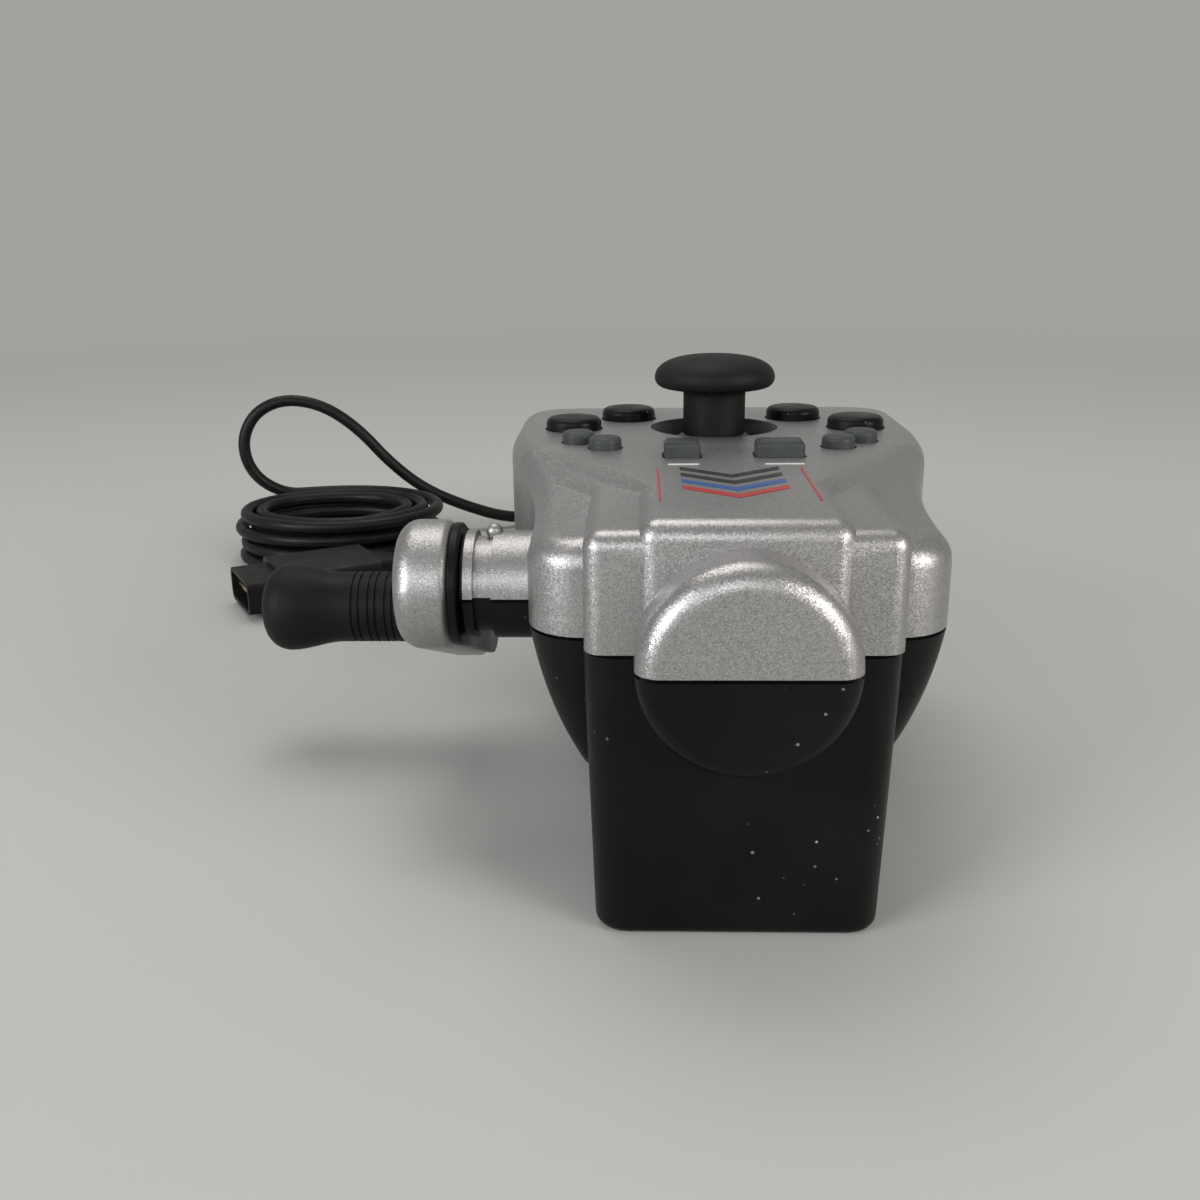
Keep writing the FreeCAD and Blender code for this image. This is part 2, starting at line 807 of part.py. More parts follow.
def seam_reveal(outer):
    """Shallow step all round the lower shell's edge, seen as a dark line under the upper shell."""
    low = parting_height - seam_width
    edge_band = outer.common(box(-2 * hull_half_width, 2 * hull_half_width,
                                 front_y - 2 * boss_reach, handle_y, low, parting_height))
    core = fuse_all([lower_hull(seam_depth), keel(seam_depth), nose_boss(seam_depth),
                     shaft_bore(stub_radius - seam_depth, stub_end_x - overlap, 0)])
    return edge_band.cut(core)


def make_shell_screws():
    seat_z = parting_height - screw_seat_drop
    heads = posts(shell_posts, screw_head_radius, seat_z - screw_head_height, seat_z)
    shanks = posts(shell_posts, screw_radius, seat_z - overlap, parting_height + screw_reach)
    return Part.makeCompound([head.fuse(shank) for head, shank in zip(heads, shanks)])


def make_grip_sleeve():
    """Rubber sleeve over the shells' tail, with a band of finger grooves."""
    sleeve = grip_form(0).cut(handle_slice(handle_length - butt_length - small_gap, 2 * handle_length))
    starts = [grip_groove_start + number * grip_groove_step for number in range(grip_grooves)]
    bands = Part.makeCompound([handle_slice(start, start + grip_groove_width) for start in starts])
    sleeve = sleeve.cut(bands.cut(grip_form(grip_groove_depth)))
    return in_handle(sleeve).cut(core_prism(-small_gap, -overlap, handle_length))


def make_butt_cap():
    cap = grip_form(0).cut(handle_slice(-handle_length, handle_length - butt_length))
    end_edges = edges_where(cap, lambda middle, first, second: middle.y > handle_length - small_gap)
    cap = in_handle(cap.makeFillet(butt_radius, end_edges))
    cap = cap.cut(core_prism(-seat_gap, 0, handle_length - butt_lip))
    cap = cap.cut(relief_form(seat_gap))
    ground = box(-grip_half_width, grip_half_width, handle_y, handle_y + 2 * handle_length,
                 -handle_length, 0)
    return cap.cut(ground)


def relief_form(grow):
    """Tapered cord sleeve with rings; its collar sits inside the butt cap."""
    base = relief_base_radius + grow
    tip = relief_tip_radius + grow
    inner = handle_length - relief_root
    outer_end = handle_length + relief_length
    ring_step = (relief_length - relief_bare) / relief_rings
    profile = [(inner, 0), (inner, base + relief_collar), (inner + relief_collar, base + relief_collar),
               (inner + relief_collar, base), (handle_length + relief_bare, base)]
    for number in range(relief_rings):
        start = handle_length + relief_bare + number * ring_step
        slope = (base - tip) / relief_rings
        radius = base - slope * number
        profile += [(start + ring_step * relief_groove_start, radius - relief_ring_depth),
                    (start + ring_step * relief_groove_end, radius - relief_ring_depth - slope / 2),
                    (start + ring_step, radius - slope)]
    profile.append((outer_end, 0))
    return in_handle(turned(profile, V(0, 0, 0), V(0, 1, 0)))


def make_bushes():
    ends = ((stub_end_x, bush_length), (rib_x, rib_bush_length))
    rings = []
    for start, length in ends:
        bore = shaft_bore(shaft_radius + running_gap, start - overlap, start + length + overlap)
        rings.append(shaft_bore(bush_radius, start, start + length).cut(bore))
    return Part.makeCompound(rings)


def make_reel_shaft():
    groove_depth = clip_rim / 2
    shaft = shaft_bore(shaft_radius, shaft_outer_end_x, rib_pocket_x - shaft_end_gap)
    for start in clip_starts():
        ring = shaft_bore(shaft_radius + overlap, start - small_gap, start + clip_thickness + small_gap)
        shaft = shaft.cut(ring.cut(shaft_bore(shaft_radius - groove_depth, start - overlap,
                                              start + clip_thickness + overlap)))
    return shaft


def clip_starts():
    """Where each retaining clip begins along X: just inside the stub's bush and past the block's."""
    return (stub_end_x + bush_length + clip_gap, rib_x + rib_bush_length + clip_gap)


def make_shaft_clips():
    clips = []
    for start in clip_starts():
        ring = shaft_bore(shaft_radius + clip_rim, start, start + clip_thickness)
        ring = ring.cut(shaft_bore(shaft_radius - clip_rim / 2 + seat_gap, start - overlap,
                                   start + clip_thickness + overlap))
        ring = ring.cut(box(start - overlap, start + clip_thickness + overlap, reel_y - clip_mouth / 2,
                            reel_y + clip_mouth / 2, parting_height, parting_height + 2 * shaft_radius))
        clips.append(ring)
    return Part.makeCompound(clips)


def make_encoder_wheel():
    half = encoder_thickness / 2
    disc_form = shaft_bore(encoder_radius, encoder_x - half, encoder_x + half)
    half_hub = encoder_hub_length / 2
    hub = shaft_bore(encoder_hub_radius, encoder_x - half_hub, encoder_x + half_hub)
    slot_outer = encoder_radius - encoder_slot_width
    slot = box(encoder_x - encoder_thickness, encoder_x + encoder_thickness,
               reel_y - encoder_slot_width / 2, reel_y + encoder_slot_width / 2,
               parting_height + slot_outer - encoder_slot_length, parting_height + slot_outer)
    slots = []
    for number in range(encoder_slots):
        copy = slot.copy()
        copy.rotate(V(encoder_x, reel_y, parting_height), V(1, 0, 0), 360 / encoder_slots * number)
        slots.append(copy)
    wheel = disc_form.cut(fuse_all(slots)).fuse(hub)
    return wheel.cut(shaft_bore(shaft_radius + seat_gap, encoder_x - encoder_hub_length,
                                encoder_x + encoder_hub_length))


def sensor_ledge():
    """Shelf from the left-hand wall of the keel under the encoder's sensor."""
    top = sensor_top - board_thickness
    return box(-hull_half_width, encoder_x + sensor_half_width, reel_y - sensor_half_depth / 2,
               reel_y + sensor_half_depth / 2, top - wall, top)


def make_reel_sensor():
    """Small board with the forked light barrier that the encoder wheel's rim runs through."""
    board = slab(sensor_half_width, sensor_half_depth, sensor_corner,
                 V(encoder_x, reel_y, sensor_top - board_thickness), board_thickness)
    inner = encoder_thickness / 2 + sensor_gap
    fork_base = box(encoder_x - inner - sensor_arm, encoder_x + inner + sensor_arm, reel_y - sensor_arm,
                    reel_y + sensor_arm, sensor_top - small_gap, sensor_top + sensor_arm)
    arms = [box(encoder_x + side * (inner + sensor_arm / 2) - sensor_arm / 2,
                encoder_x + side * (inner + sensor_arm / 2) + sensor_arm / 2,
                reel_y - sensor_arm, reel_y + sensor_arm, sensor_top,
                parting_height - encoder_hub_radius - 2 * sensor_gap) for side in (-1, 1)]
    return fuse_all([board, fork_base] + arms)


def crank_heading():
    angle = math.radians(crank_droop_degrees)
    return V(0, math.cos(angle), -math.sin(angle))


def crank_loop(x, shrink):
    """Outline of the crank: a round hub and a smaller round tip with straight flanks."""
    hub = V(x, reel_y, parting_height)
    ahead = crank_heading()
    across = V(0, ahead.z, -ahead.y)
    tip = hub + ahead * crank_length
    hub_radius = crank_hub_radius - shrink
    tip_radius = crank_tip_radius - shrink
    lean = (hub_radius - tip_radius) / crank_length
    flank = math.sqrt(1 - lean * lean)
    hub_ends = [hub + (ahead * lean + across * (flank * side)) * hub_radius for side in (1, -1)]
    tip_ends = [tip + (ahead * lean + across * (flank * side)) * tip_radius for side in (1, -1)]
    tip_arc = arc(tip_ends[0], tip + ahead * tip_radius, tip_ends[1])
    hub_arc = arc(hub_ends[1], hub - ahead * hub_radius, hub_ends[0])
    return Part.Wire([line(hub_ends[0], tip_ends[0]), tip_arc, line(tip_ends[1], hub_ends[1]), hub_arc])


def knob_axis(x):
    return V(x, reel_y, parting_height) + crank_heading() * crank_length


def make_crank_base():
    plate = Part.Face(crank_loop(crank_base_x, crank_base_rim)).extrude(V(-crank_base_thickness, 0, 0))
    plate = plate.cut(shaft_bore(shaft_radius + seat_gap, crank_cover_x - overlap, crank_base_x + overlap))
    head_recess = disc(knob_pin_head_radius + seat_gap, knob_pin_head + overlap,
                       knob_axis(crank_base_x - knob_pin_head), V(1, 0, 0))
    shank_hole = disc(knob_pin_radius + seat_gap, crank_base_thickness + 2 * overlap,
                      knob_axis(crank_cover_x - overlap), V(1, 0, 0))
    return plate.cut(head_recess).cut(shank_hole)


def make_crank_cover():
    cover = Part.Face(crank_loop(crank_cover_x, 0)).extrude(V(-crank_cover_thickness, 0, 0))
    outer_x = crank_cover_x - crank_cover_thickness
    outer_rim = [edge for edge in cover.Edges if edge.BoundBox.XMax < outer_x + small_gap]
    cover = cover.makeFillet(crank_edge_radius, outer_rim)
    inner_rim = [edge for edge in cover.Edges if edge.BoundBox.XMin > crank_cover_x - small_gap]
    cover = cover.makeFillet(crank_inner_radius, inner_rim)
    cover = cover.cut(shaft_bore(shaft_radius + seat_gap, shaft_outer_end_x - seat_gap,
                                 crank_cover_x + overlap))
    return cover.cut(disc(knob_pin_radius + seat_gap, crank_cover_thickness + 2 * overlap,
                          knob_axis(outer_x - overlap), V(1, 0, 0)))


def make_knob_pin():
    tip_x = knob_x - knob_length + knob_end_wall + small_gap
    head = disc(knob_pin_head_radius, knob_pin_head, knob_axis(crank_base_x - knob_pin_head), V(1, 0, 0))
    shank = disc(knob_pin_radius, crank_base_x - overlap - tip_x, knob_axis(tip_x), V(1, 0, 0))
    return head.fuse(shank)


def make_crank_knob():
    """Turned knob: a ringed neck that flares into a round bulb at the outer end."""
    away = V(-1, 0, 0)
    start = knob_axis(knob_x)
    up = V(0, 0, 1)

    def spot(along, radius):
        return start + away * along + up * radius

    edges = [line(spot(0, 0), spot(0, knob_neck_radius))]
    last = spot(0, knob_neck_radius)
    for number in range(knob_grooves):
        along = knob_groove_start + number * knob_groove_step
        for step, depth in ((0, 0), (0.5, knob_groove_depth), (1, 0)):
            following = spot(along + step * knob_groove_width, knob_neck_radius - depth)
            edges.append(line(last, following))
            last = following
    flare_start = spot(knob_flare_start, knob_neck_radius)
    bulb = spot(knob_bulb_at, knob_bulb_radius)
    crown = spot(knob_length, knob_crown_radius)
    edges.append(line(last, flare_start))
    edges += biarc(flare_start, away, bulb, away)
    edges += biarc(bulb, away, crown, up * -1)
    edges.append(line(crown, spot(knob_length, 0)))
    edges.append(line(spot(knob_length, 0), spot(0, 0)))
    knob = Part.Face(Part.Wire(edges)).revolve(start, away, 360)
    bore = disc(knob_pin_radius + running_gap, knob_length - knob_end_wall, start, away)
    return knob.cut(bore)


def make_round_button(centre, radius, proud):
    """Cap with a rounded top edge, a flange under the shell's ceiling and a foot on the mat's dome."""
    flange_top = ceiling_z - small_gap
    foot_z = flange_top - button_flange_thickness - button_foot
    cap = disc(radius, plateau_z + proud - flange_top + overlap,
               centre + V(0, 0, flange_top - overlap), V(0, 0, 1))
    rim = [edge for edge in cap.Edges if edge.BoundBox.ZMin > plateau_z + proud - small_gap]
    cap = cap.makeFillet(button_edge_radius, rim)
    flange = disc(radius + button_flange, button_flange_thickness,
                  centre + V(0, 0, flange_top - button_flange_thickness), V(0, 0, 1))
    foot = disc(min(mat_dome_radius, radius), button_foot + overlap, centre + V(0, 0, foot_z), V(0, 0, 1))
    return fuse_all([cap, flange, foot])


def make_bar_button(x, width):
    flange_top = ceiling_z - small_gap
    foot_z = flange_top - button_flange_thickness - button_foot
    centre = V(x, bar_button_y, 0)
    top_z = plateau_z + bar_button_proud
    cap = slab(width / 2, bar_button_depth / 2, bar_button_corner, centre + V(0, 0, flange_top - overlap),
               top_z - flange_top + overlap)
    rim = [edge for edge in cap.Edges if edge.BoundBox.ZMin > top_z - small_gap]
    cap = cap.makeFillet(bar_button_corner / 2, rim)
    flange = slab(width / 2 + button_flange, bar_button_depth / 2 + button_flange, bar_button_corner,
                  centre + V(0, 0, flange_top - button_flange_thickness), button_flange_thickness)
    foot = disc(bar_button_depth / 2, button_foot + overlap, centre + V(0, 0, foot_z), V(0, 0, 1))
    return fuse_all([cap, flange, foot])


def make_mat(centres):
    """Silicone sheet on the board, with a dome under each button and a strip from dome to dome."""
    foot_z = ceiling_z - small_gap - button_flange_thickness - button_foot
    pieces = []
    for centre in centres:
        base = centre + V(0, 0, board_z)
        pieces.append(disc(mat_dome_radius + mat_rim, mat_thickness, base, V(0, 0, 1)))
        pieces.append(Part.makeCone(mat_dome_radius, mat_dome_top_radius, foot_z - seat_gap - board_z, base))
    for first, second in zip(centres, centres[1:]):
        span = second - first
        strip = slab(span.Length / 2, mat_strip / 2, mat_rim / 2, V(0, 0, board_z), mat_thickness)
        strip.rotate(V(0, 0, 0), V(0, 0, 1), math.degrees(math.atan2(span.y, span.x)))
        strip.translate((first + second) / 2)
        pieces.append(strip)
    return fuse_all(pieces)


def make_button_board():
    """T-shaped circuit board under the mats, cleared round the stick and the shell posts."""
    low = board_z - board_thickness
    board = slab(board_half_width, (board_rear_y - board_front_y) / 2, board_corner,
                 V(0, (board_front_y + board_rear_y) / 2, low), board_thickness)
    tongue_front = stick_y - board_tongue_ahead
    tongue_rear = board_front_y + board_corner
    tongue = slab(board_tongue_half_width, (tongue_rear - tongue_front) / 2, mat_rim,
                  V(0, (tongue_front + tongue_rear) / 2, low), board_thickness)
    holes = [disc(stick_clearance, 2 * board_thickness, V(0, stick_y, low - overlap), V(0, 0, 1))]
    holes += posts(shell_posts, post_radius + overlap, low - overlap, board_z + overlap)
    holes += posts(board_posts, board_screw_radius + small_gap, low - overlap, board_z + overlap)
    return board.fuse(tongue).cut(fuse_all(holes))


def make_board_screws():
    low = board_z - board_thickness
    heads = posts(board_posts, board_screw_head_radius, low - board_screw_head, low)
    shanks = posts(board_posts, board_screw_radius, low - overlap, board_z + board_screw_length)
    return Part.makeCompound([head.fuse(shank) for head, shank in zip(heads, shanks)])


def make_stick_ring():
    """Black ring in the plateau's socket, with a funnel-shaped throat and a flange under the ceiling."""
    outside = ring_radius - seat_gap
    profile = [(0, outside - ring_chamfer), (0, outside), (-wall, outside), (-wall, outside + ring_rim),
               (-wall - ring_flange_thickness, outside + ring_rim),
               (-ring_depth, ring_throat_radius + ring_chamfer), (-ring_depth, ring_throat_radius)]
    return turned(profile, V(0, stick_y, plateau_z), V(0, 0, 1))


def make_stick_cap():
    """Rubber mushroom cap with its neck, pushed over the stem."""
    neck_z = pivot_z + dome_top
    under_z = plateau_z + stick_neck_height
    top_z = under_z + stick_cap_height
    axis = V(0, stick_y, 0)

    def spot(radius, height):
        return axis + V(radius, 0, height)

    lip = spot(stick_cap_radius, under_z + stick_cap_lip)
    crown = spot(0, top_z)
    edges = [line(spot(0, neck_z), spot(stick_neck_radius, neck_z)),
             line(spot(stick_neck_radius, neck_z), spot(stick_neck_radius, under_z)),
             line(spot(stick_neck_radius, under_z), spot(stick_cap_flat_radius, under_z))]
    edges += biarc(spot(stick_cap_flat_radius, under_z), V(1, 0, 0), lip, V(0, 0, 1))
    edges += biarc(lip, V(0, 0, 1), crown, V(-1, 0, 0))
    edges.append(line(crown, spot(0, neck_z)))
    cap = Part.Face(Part.Wire(edges)).revolve(axis, V(0, 0, 1), 360)
    return cap.cut(disc(stem_radius + seat_gap, stem_above_neck + small_gap + overlap,
                        axis + V(0, 0, neck_z - overlap), V(0, 0, 1)))


def make_stick_dome():
    """Hard dome that closes the throat at any tilt, with the stem and its cross pin."""
    pivot = V(0, stick_y, pivot_z)
    rim = dome_radius * math.cos(dome_cover)
    shell = Part.makeSphere(dome_radius, pivot).cut(Part.makeSphere(dome_radius - dome_wall, pivot))
    band = disc(2 * dome_radius, dome_top - rim, pivot + V(0, 0, rim), V(0, 0, 1))
    crown = disc(stick_neck_radius, dome_crown, pivot + V(0, 0, dome_top - dome_crown), V(0, 0, 1))
    stem = disc(stem_radius, stem_top + stem_below_pivot, pivot - V(0, 0, stem_below_pivot), V(0, 0, 1))
    pin = disc(cross_pin_radius, 2 * yoke_half_width, pivot - V(0, yoke_half_width, 0), V(0, 1, 0))
    return fuse_all([shell.common(band), crown, stem, pin])


def make_stick_yoke():
    """Slotted bar that tips with the stick about X on two end pins."""
    pivot = V(0, stick_y, pivot_z)
    bar = box(-yoke_half_length, yoke_half_length, stick_y - yoke_half_width, stick_y + yoke_half_width,
              pivot_z - yoke_half_height, pivot_z + yoke_half_height)
    slot = box(-yoke_slot_half_length, yoke_slot_half_length, stick_y - yoke_slot_half_width,
               stick_y + yoke_slot_half_width,
               pivot_z - 2 * yoke_half_height, pivot_z + 2 * yoke_half_height)
    pin_reach = stick_case_half - small_gap
    pins = disc(yoke_pin_radius, 2 * pin_reach, pivot - V(pin_reach, 0, 0), V(1, 0, 0))
    hole = disc(cross_pin_radius + running_gap, 4 * yoke_half_width,
                pivot - V(0, 2 * yoke_half_width, 0), V(0, 1, 0))
    return bar.fuse(pins).cut(slot).cut(hole)


def make_stick_case():
    """Open metal-sided case on the stick's board, with bearing holes for the yoke's pins."""
    low = pivot_z - stick_case_depth
    centre = V(0, stick_y, low)
    height = stick_case_depth + stick_case_rise
    inside = stick_case_half - stick_case_wall
    case = slab(stick_case_half, stick_case_half, stick_case_wall, centre, height)
    case = case.cut(slab(inside, inside, stick_case_wall / 2, centre + V(0, 0, stick_case_wall), height))
    hole = disc(yoke_pin_radius + running_gap, 4 * stick_case_half,
                V(-2 * stick_case_half, stick_y, pivot_z), V(1, 0, 0))
    return case.cut(hole)


def make_stick_board():
    low = stick_board_z - board_thickness
    return slab(stick_board_half, stick_board_half, mat_rim, V(0, stick_y, low), board_thickness)


def motor_axis(setback):
    return V(0, front_y + setback, motor_height)


def motor_cradle():
    """Two saddles in the keel that the rumble motor drops into."""
    saddles = []
    for setback in (motor_front_setback + wall, motor_front_setback + motor_length - 2 * wall):
        saddle = box(-keel_half_width, keel_half_width,
                     front_y + setback, front_y + setback + cradle_thickness, 0, motor_height)
        saddles.append(saddle.cut(disc(motor_radius + seat_gap, 2 * cradle_thickness,
                                       motor_axis(setback - cradle_thickness / 2), V(0, 1, 0))))
    return saddles


def make_rumble_motor():
    can = disc(motor_radius, motor_length, motor_axis(motor_front_setback), V(0, 1, 0))
    nose = disc(motor_nose_radius, motor_nose, motor_axis(motor_front_setback - motor_nose), V(0, 1, 0))
    bore = disc(motor_shaft_radius + running_gap, motor_length / 2,
                motor_axis(motor_front_setback - motor_nose), V(0, 1, 0))
    return can.fuse(nose).cut(bore)


def make_motor_weight():
    """Half-round weight on the motor's shaft; it hangs down at rest."""
    front = motor_front_setback - motor_nose - weight_gap - weight_thickness
    weight = disc(weight_radius, weight_thickness, motor_axis(front), V(0, 1, 0))
    upper_half = box(-weight_radius, weight_radius, front_y + front - overlap,
                     front_y + front + weight_thickness + overlap, motor_height + weight_top,
                     motor_height + weight_radius)
    shaft = disc(motor_shaft_radius, motor_front_setback - front + motor_nose, motor_axis(front), V(0, 1, 0))
    return weight.cut(upper_half).fuse(shaft)


def coil_point(turn):
    """Centre line of the coiled cord: layers that wind in and out again and climb where they reverse."""
    phase = turn % (2 * coil_turns_per_layer)
    inward = min(phase, 2 * coil_turns_per_layer - phase)
    angle = coil_start_angle + 2 * math.pi * turn
    step = coil_step * (1 + coil_fan_share * (1 + math.sin(angle)) / 2)
    height = cord_radius
    for number in range(1, coil_layers):
        share = (turn - number * coil_turns_per_layer) / coil_climb_turns + 0.5
        share = min(max(share, 0), 1)
        height += coil_layer_height * share * share * (3 - 2 * share)
    return V(coil_x + (coil_half_length - step * inward) * math.cos(angle),
             front_y + coil_setback + (coil_half_depth - step * inward) * math.sin(angle), height)


def coil_heading(turn):
    low = max(turn - heading_step, 0)
    high = min(turn + heading_step, coil_turns)
    return (coil_point(high) - coil_point(low)).normalize()


def coil_path():
    """Biarcs of about a quarter turn, with a straight end one cord diameter long at both ends."""
    pieces = round(coil_turns * coil_quarters)
    turns = [coil_turns * number / pieces for number in range(pieces + 1)]
    points = [coil_point(turn) for turn in turns]
    headings = [coil_heading(turn) for turn in turns]
    edges = [line(points[0] - headings[0] * (2 * cord_radius), points[0])]
    for number in range(pieces):
        edges += biarc(points[number], headings[number], points[number + 1], headings[number + 1])
    edges.append(line(points[-1], points[-1] + headings[-1] * (2 * cord_radius)))
    return edges


def section_loop(centre, heading, facets):
    """Flat-sided cord section square to the heading."""
    side = heading.cross(V(0, 0, 1)).normalize()
    up = side.cross(heading).normalize()
    turn = 2 * math.pi / facets
    corners = [centre + (side * math.cos(turn * (number + 0.5)) + up * math.sin(turn * (number + 0.5)))
               * (cord_radius / math.cos(turn / 2)) for number in range(facets)]
    return Part.makePolygon(corners + [corners[0]])


def swept(edges, loop):
    return Part.Wire(edges).makePipeShell([loop], True, False)


def route_edges(points):
    """Straight runs joined by arcs, each as large as its two runs allow; prints the smallest radius."""
    edges = []
    last = points[0]
    radii = []
    for before, corner, after in zip(points, points[1:], points[2:]):
        arriving = (corner - before)
        leaving = (after - corner)
        trim = arc_share * min(arriving.Length, leaving.Length)
        half_turn = arriving.getAngle(leaving) / 2
        radii.append(trim / math.tan(half_turn))
        first = corner - V(arriving).normalize() * trim
        second = corner + V(leaving).normalize() * trim
        edges.append(line(last, first))
        edges.append(corner_arc(first, corner, second))
        last = second
    edges.append(line(last, points[-1]))
    return edges, radii


def make_cord_run(name, points):
    edges, radii = route_edges(points)
    run = swept(edges, section_loop(points[0], (points[1] - points[0]).normalize(), cord_facets))
    length = sum(edge.Length for edge in edges)
    area = cord_facets * cord_radius ** 2 * math.tan(math.pi / cord_facets)
    print(name, "length", round(length, 1), "radii", [round(radius, 1) for radius in radii],
          "volume share", round(run.Volume / (area * length), 4))
    return run


def make_cord_coil():
    edges = coil_path()
    start = edges[0].Vertexes[0].Point
    coil = swept(edges, section_loop(start, coil_heading(0), cord_facets))
    length = sum(edge.Length for edge in edges)
    area = cord_facets * cord_radius ** 2 * math.tan(math.pi / cord_facets)
    print("cord_coil length", round(length, 1), "volume share", round(coil.Volume / (area * length), 4),
          "least gap", round(coil_gap(edges), 2))
    return coil


def coil_ends():
    """Tips of the coil's straight ends and the directions in which the cord goes on from them."""
    first, last = coil_heading(0), coil_heading(coil_turns)
    return ((coil_point(0) - first * (2 * cord_radius), first * -1),
            (coil_point(coil_turns) + last * (2 * cord_radius), last))


def shifted(base, route):
    return [base + V(*offset) * route_step for offset in route]


def lead_points():
    """Cord from the strain relief over the ground and round the standing loop to the coil's top."""
    tip = handle_place.multVec(V(0, handle_length + relief_length, 0))
    along = handle_place.Rotation.multVec(V(0, cord_free_run, 0))
    coil_end, onward = coil_ends()[1]
    points = [tip, tip + along] + shifted(V(0, tip.y, 0), ground_route) + shifted(coil_end, loop_route)
    return points + [coil_end + onward * cord_free_run, coil_end]


def tail_points():
    """Cord from the coil's bottom to the plug's boot."""
    coil_start, onward = coil_ends()[0]
    exit_x = plug_nose_length + plug_length + plug_boot_length
    points = [coil_start, coil_start + onward * cord_free_run]
    points += shifted(V(coil_start.x, coil_start.y, 0), tail_route)
    return points + [plug_point(exit_x + cord_free_run), plug_point(exit_x)]


def coil_gap(edges):
    """Least free space between the coil and itself, on points along its centre line."""
    points = []
    for edge in edges:
        points += edge.discretize(coil_sampling)[:-1]
    travelled = 0
    marks = [0]
    for first, second in zip(points, points[1:]):
        travelled += (second - first).Length
        marks.append(travelled)
    near = coil_half_depth
    least = 2 * coil_half_length
    for number, point in enumerate(points):
        for other in range(number + 1, len(points)):
            if marks[other] - marks[number] > near:
                least = min(least, (points[other] - point).Length)
    return least - 2 * cord_radius


def plug_point(along):
    """Point on the plug's axis, counted from the tip of its nose."""
    bearing = math.radians(plug_turn_degrees)
    return V(plug_x + along * math.cos(bearing), front_y + plug_setback + along * math.sin(bearing),
             plug_half_height)


def plug_place(shape):
    """Turns a solid drawn along +X from the plug's nose to its lie on the ground."""
    placed = shape.copy()
    placed.rotate(V(0, 0, 0), V(0, 0, 1), plug_turn_degrees)
    placed.translate(V(plug_x, front_y + plug_setback, plug_half_height))
    return placed


def plug_loop(half_width, half_height, x):
    return rounded_loop(half_width, half_height, half_height / 2, lambda u, v: V(x, u, v))


def make_plug_body():
    """Flat moulded grip with a tapered boot for the cord."""
    end_face = Part.Face(plug_loop(plug_half_width, plug_half_height, plug_nose_length))
    body = end_face.extrude(V(plug_length, 0, 0))
    boot_start = plug_nose_length + plug_length
    boot = Part.makeLoft([plug_loop(plug_boot_half_width, plug_boot_half_height, boot_start - overlap),
                          plug_loop(plug_boot_end_half_width, plug_boot_end_half_height,
                                    boot_start + plug_boot_length)], True)
    return plug_place(body.fuse(boot))


def make_plug_nose():
    half_width = plug_half_width - plug_nose_inset
    half_height = plug_half_height - plug_nose_inset
    nose = Part.Face(plug_loop(half_width, half_height, 0)).extrude(V(plug_nose_length, 0, 0))
    pocket = Part.Face(plug_loop(half_width - plug_nose_wall, half_height - plug_nose_wall, -overlap))
    return plug_place(nose.cut(pocket.extrude(V(plug_pocket_depth + overlap, 0, 0))))


def make_plug_contacts():
    """Row of round contacts in the plug's pocket."""
    pitch = 2 * (plug_half_width - 2 * plug_nose_inset - plug_nose_wall) / plug_contacts
    pins = []
    for number in range(plug_contacts):
        offset = (number - (plug_contacts - 1) / 2) * pitch
        pins.append(plug_place(disc(plug_contact_radius, plug_contact_length,
                                    V(plug_pocket_depth - plug_contact_length, offset, 0), V(1, 0, 0))))
    return Part.makeCompound(pins)


def build():
    """All pieces by node name."""
    outer, top, bottom = housing()
    nodes = {
        "top_shell": make_top_shell(outer, top),
        "bottom_shell": make_bottom_shell(outer, bottom),
        "shell_screws": make_shell_screws(),
        "grip_sleeve": make_grip_sleeve(),
        "butt_cap": make_butt_cap(),
        "strain_relief": relief_form(0),
        "reel_bushes": make_bushes(),
        "reel_shaft": make_reel_shaft(),
        "shaft_clips": make_shaft_clips(),
        "encoder_wheel": make_encoder_wheel(),
        "reel_sensor": make_reel_sensor(),
        "crank_base": make_crank_base(),
        "crank_cover": make_crank_cover(),
        "knob_pin": make_knob_pin(),
        "crank_knob": make_crank_knob(),
        "button_board": make_button_board(),
        "board_screws": make_board_screws(),
        "stick_ring": make_stick_ring(),
        "stick_cap": make_stick_cap(),
        "stick_dome": make_stick_dome(),
        "stick_yoke": make_stick_yoke(),
        "stick_case": make_stick_case(),
        "stick_board": make_stick_board(),
        "rumble_motor": make_rumble_motor(),
        "motor_weight": make_motor_weight(),
    }
    for centre, radius, proud, name in round_buttons():
        nodes[name] = make_round_button(centre, radius, proud)
    for name, (x, width) in bar_buttons.items():
        nodes[name + "_button"] = make_bar_button(x, width)
    places = list(small_button_places.values()) + list(button_places.values())
    for side, sign in (("left", 1), ("right", -1)):
        nodes["button_mat_" + side] = make_mat([V(sign * x, y, 0) for x, y in places])
    nodes["button_mat_middle"] = make_mat([V(x, bar_button_y, 0) for x, _ in bar_buttons.values()])
    nodes["cord_lead"] = make_cord_run("cord_lead", lead_points())
    nodes["cord_coil"] = make_cord_coil()
    nodes["cord_tail"] = make_cord_run("cord_tail", tail_points())
    nodes["plug_body"] = make_plug_body()
    nodes["plug_nose"] = make_plug_nose()
    nodes["plug_contacts"] = make_plug_contacts()
    return nodes


os.makedirs("parts", exist_ok=True)
for node_name, solid in build().items():
    solid.exportStep(f"parts/{node_name}.step")
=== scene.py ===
import math

import bmesh
import bpy
from mathutils import Matrix, Vector


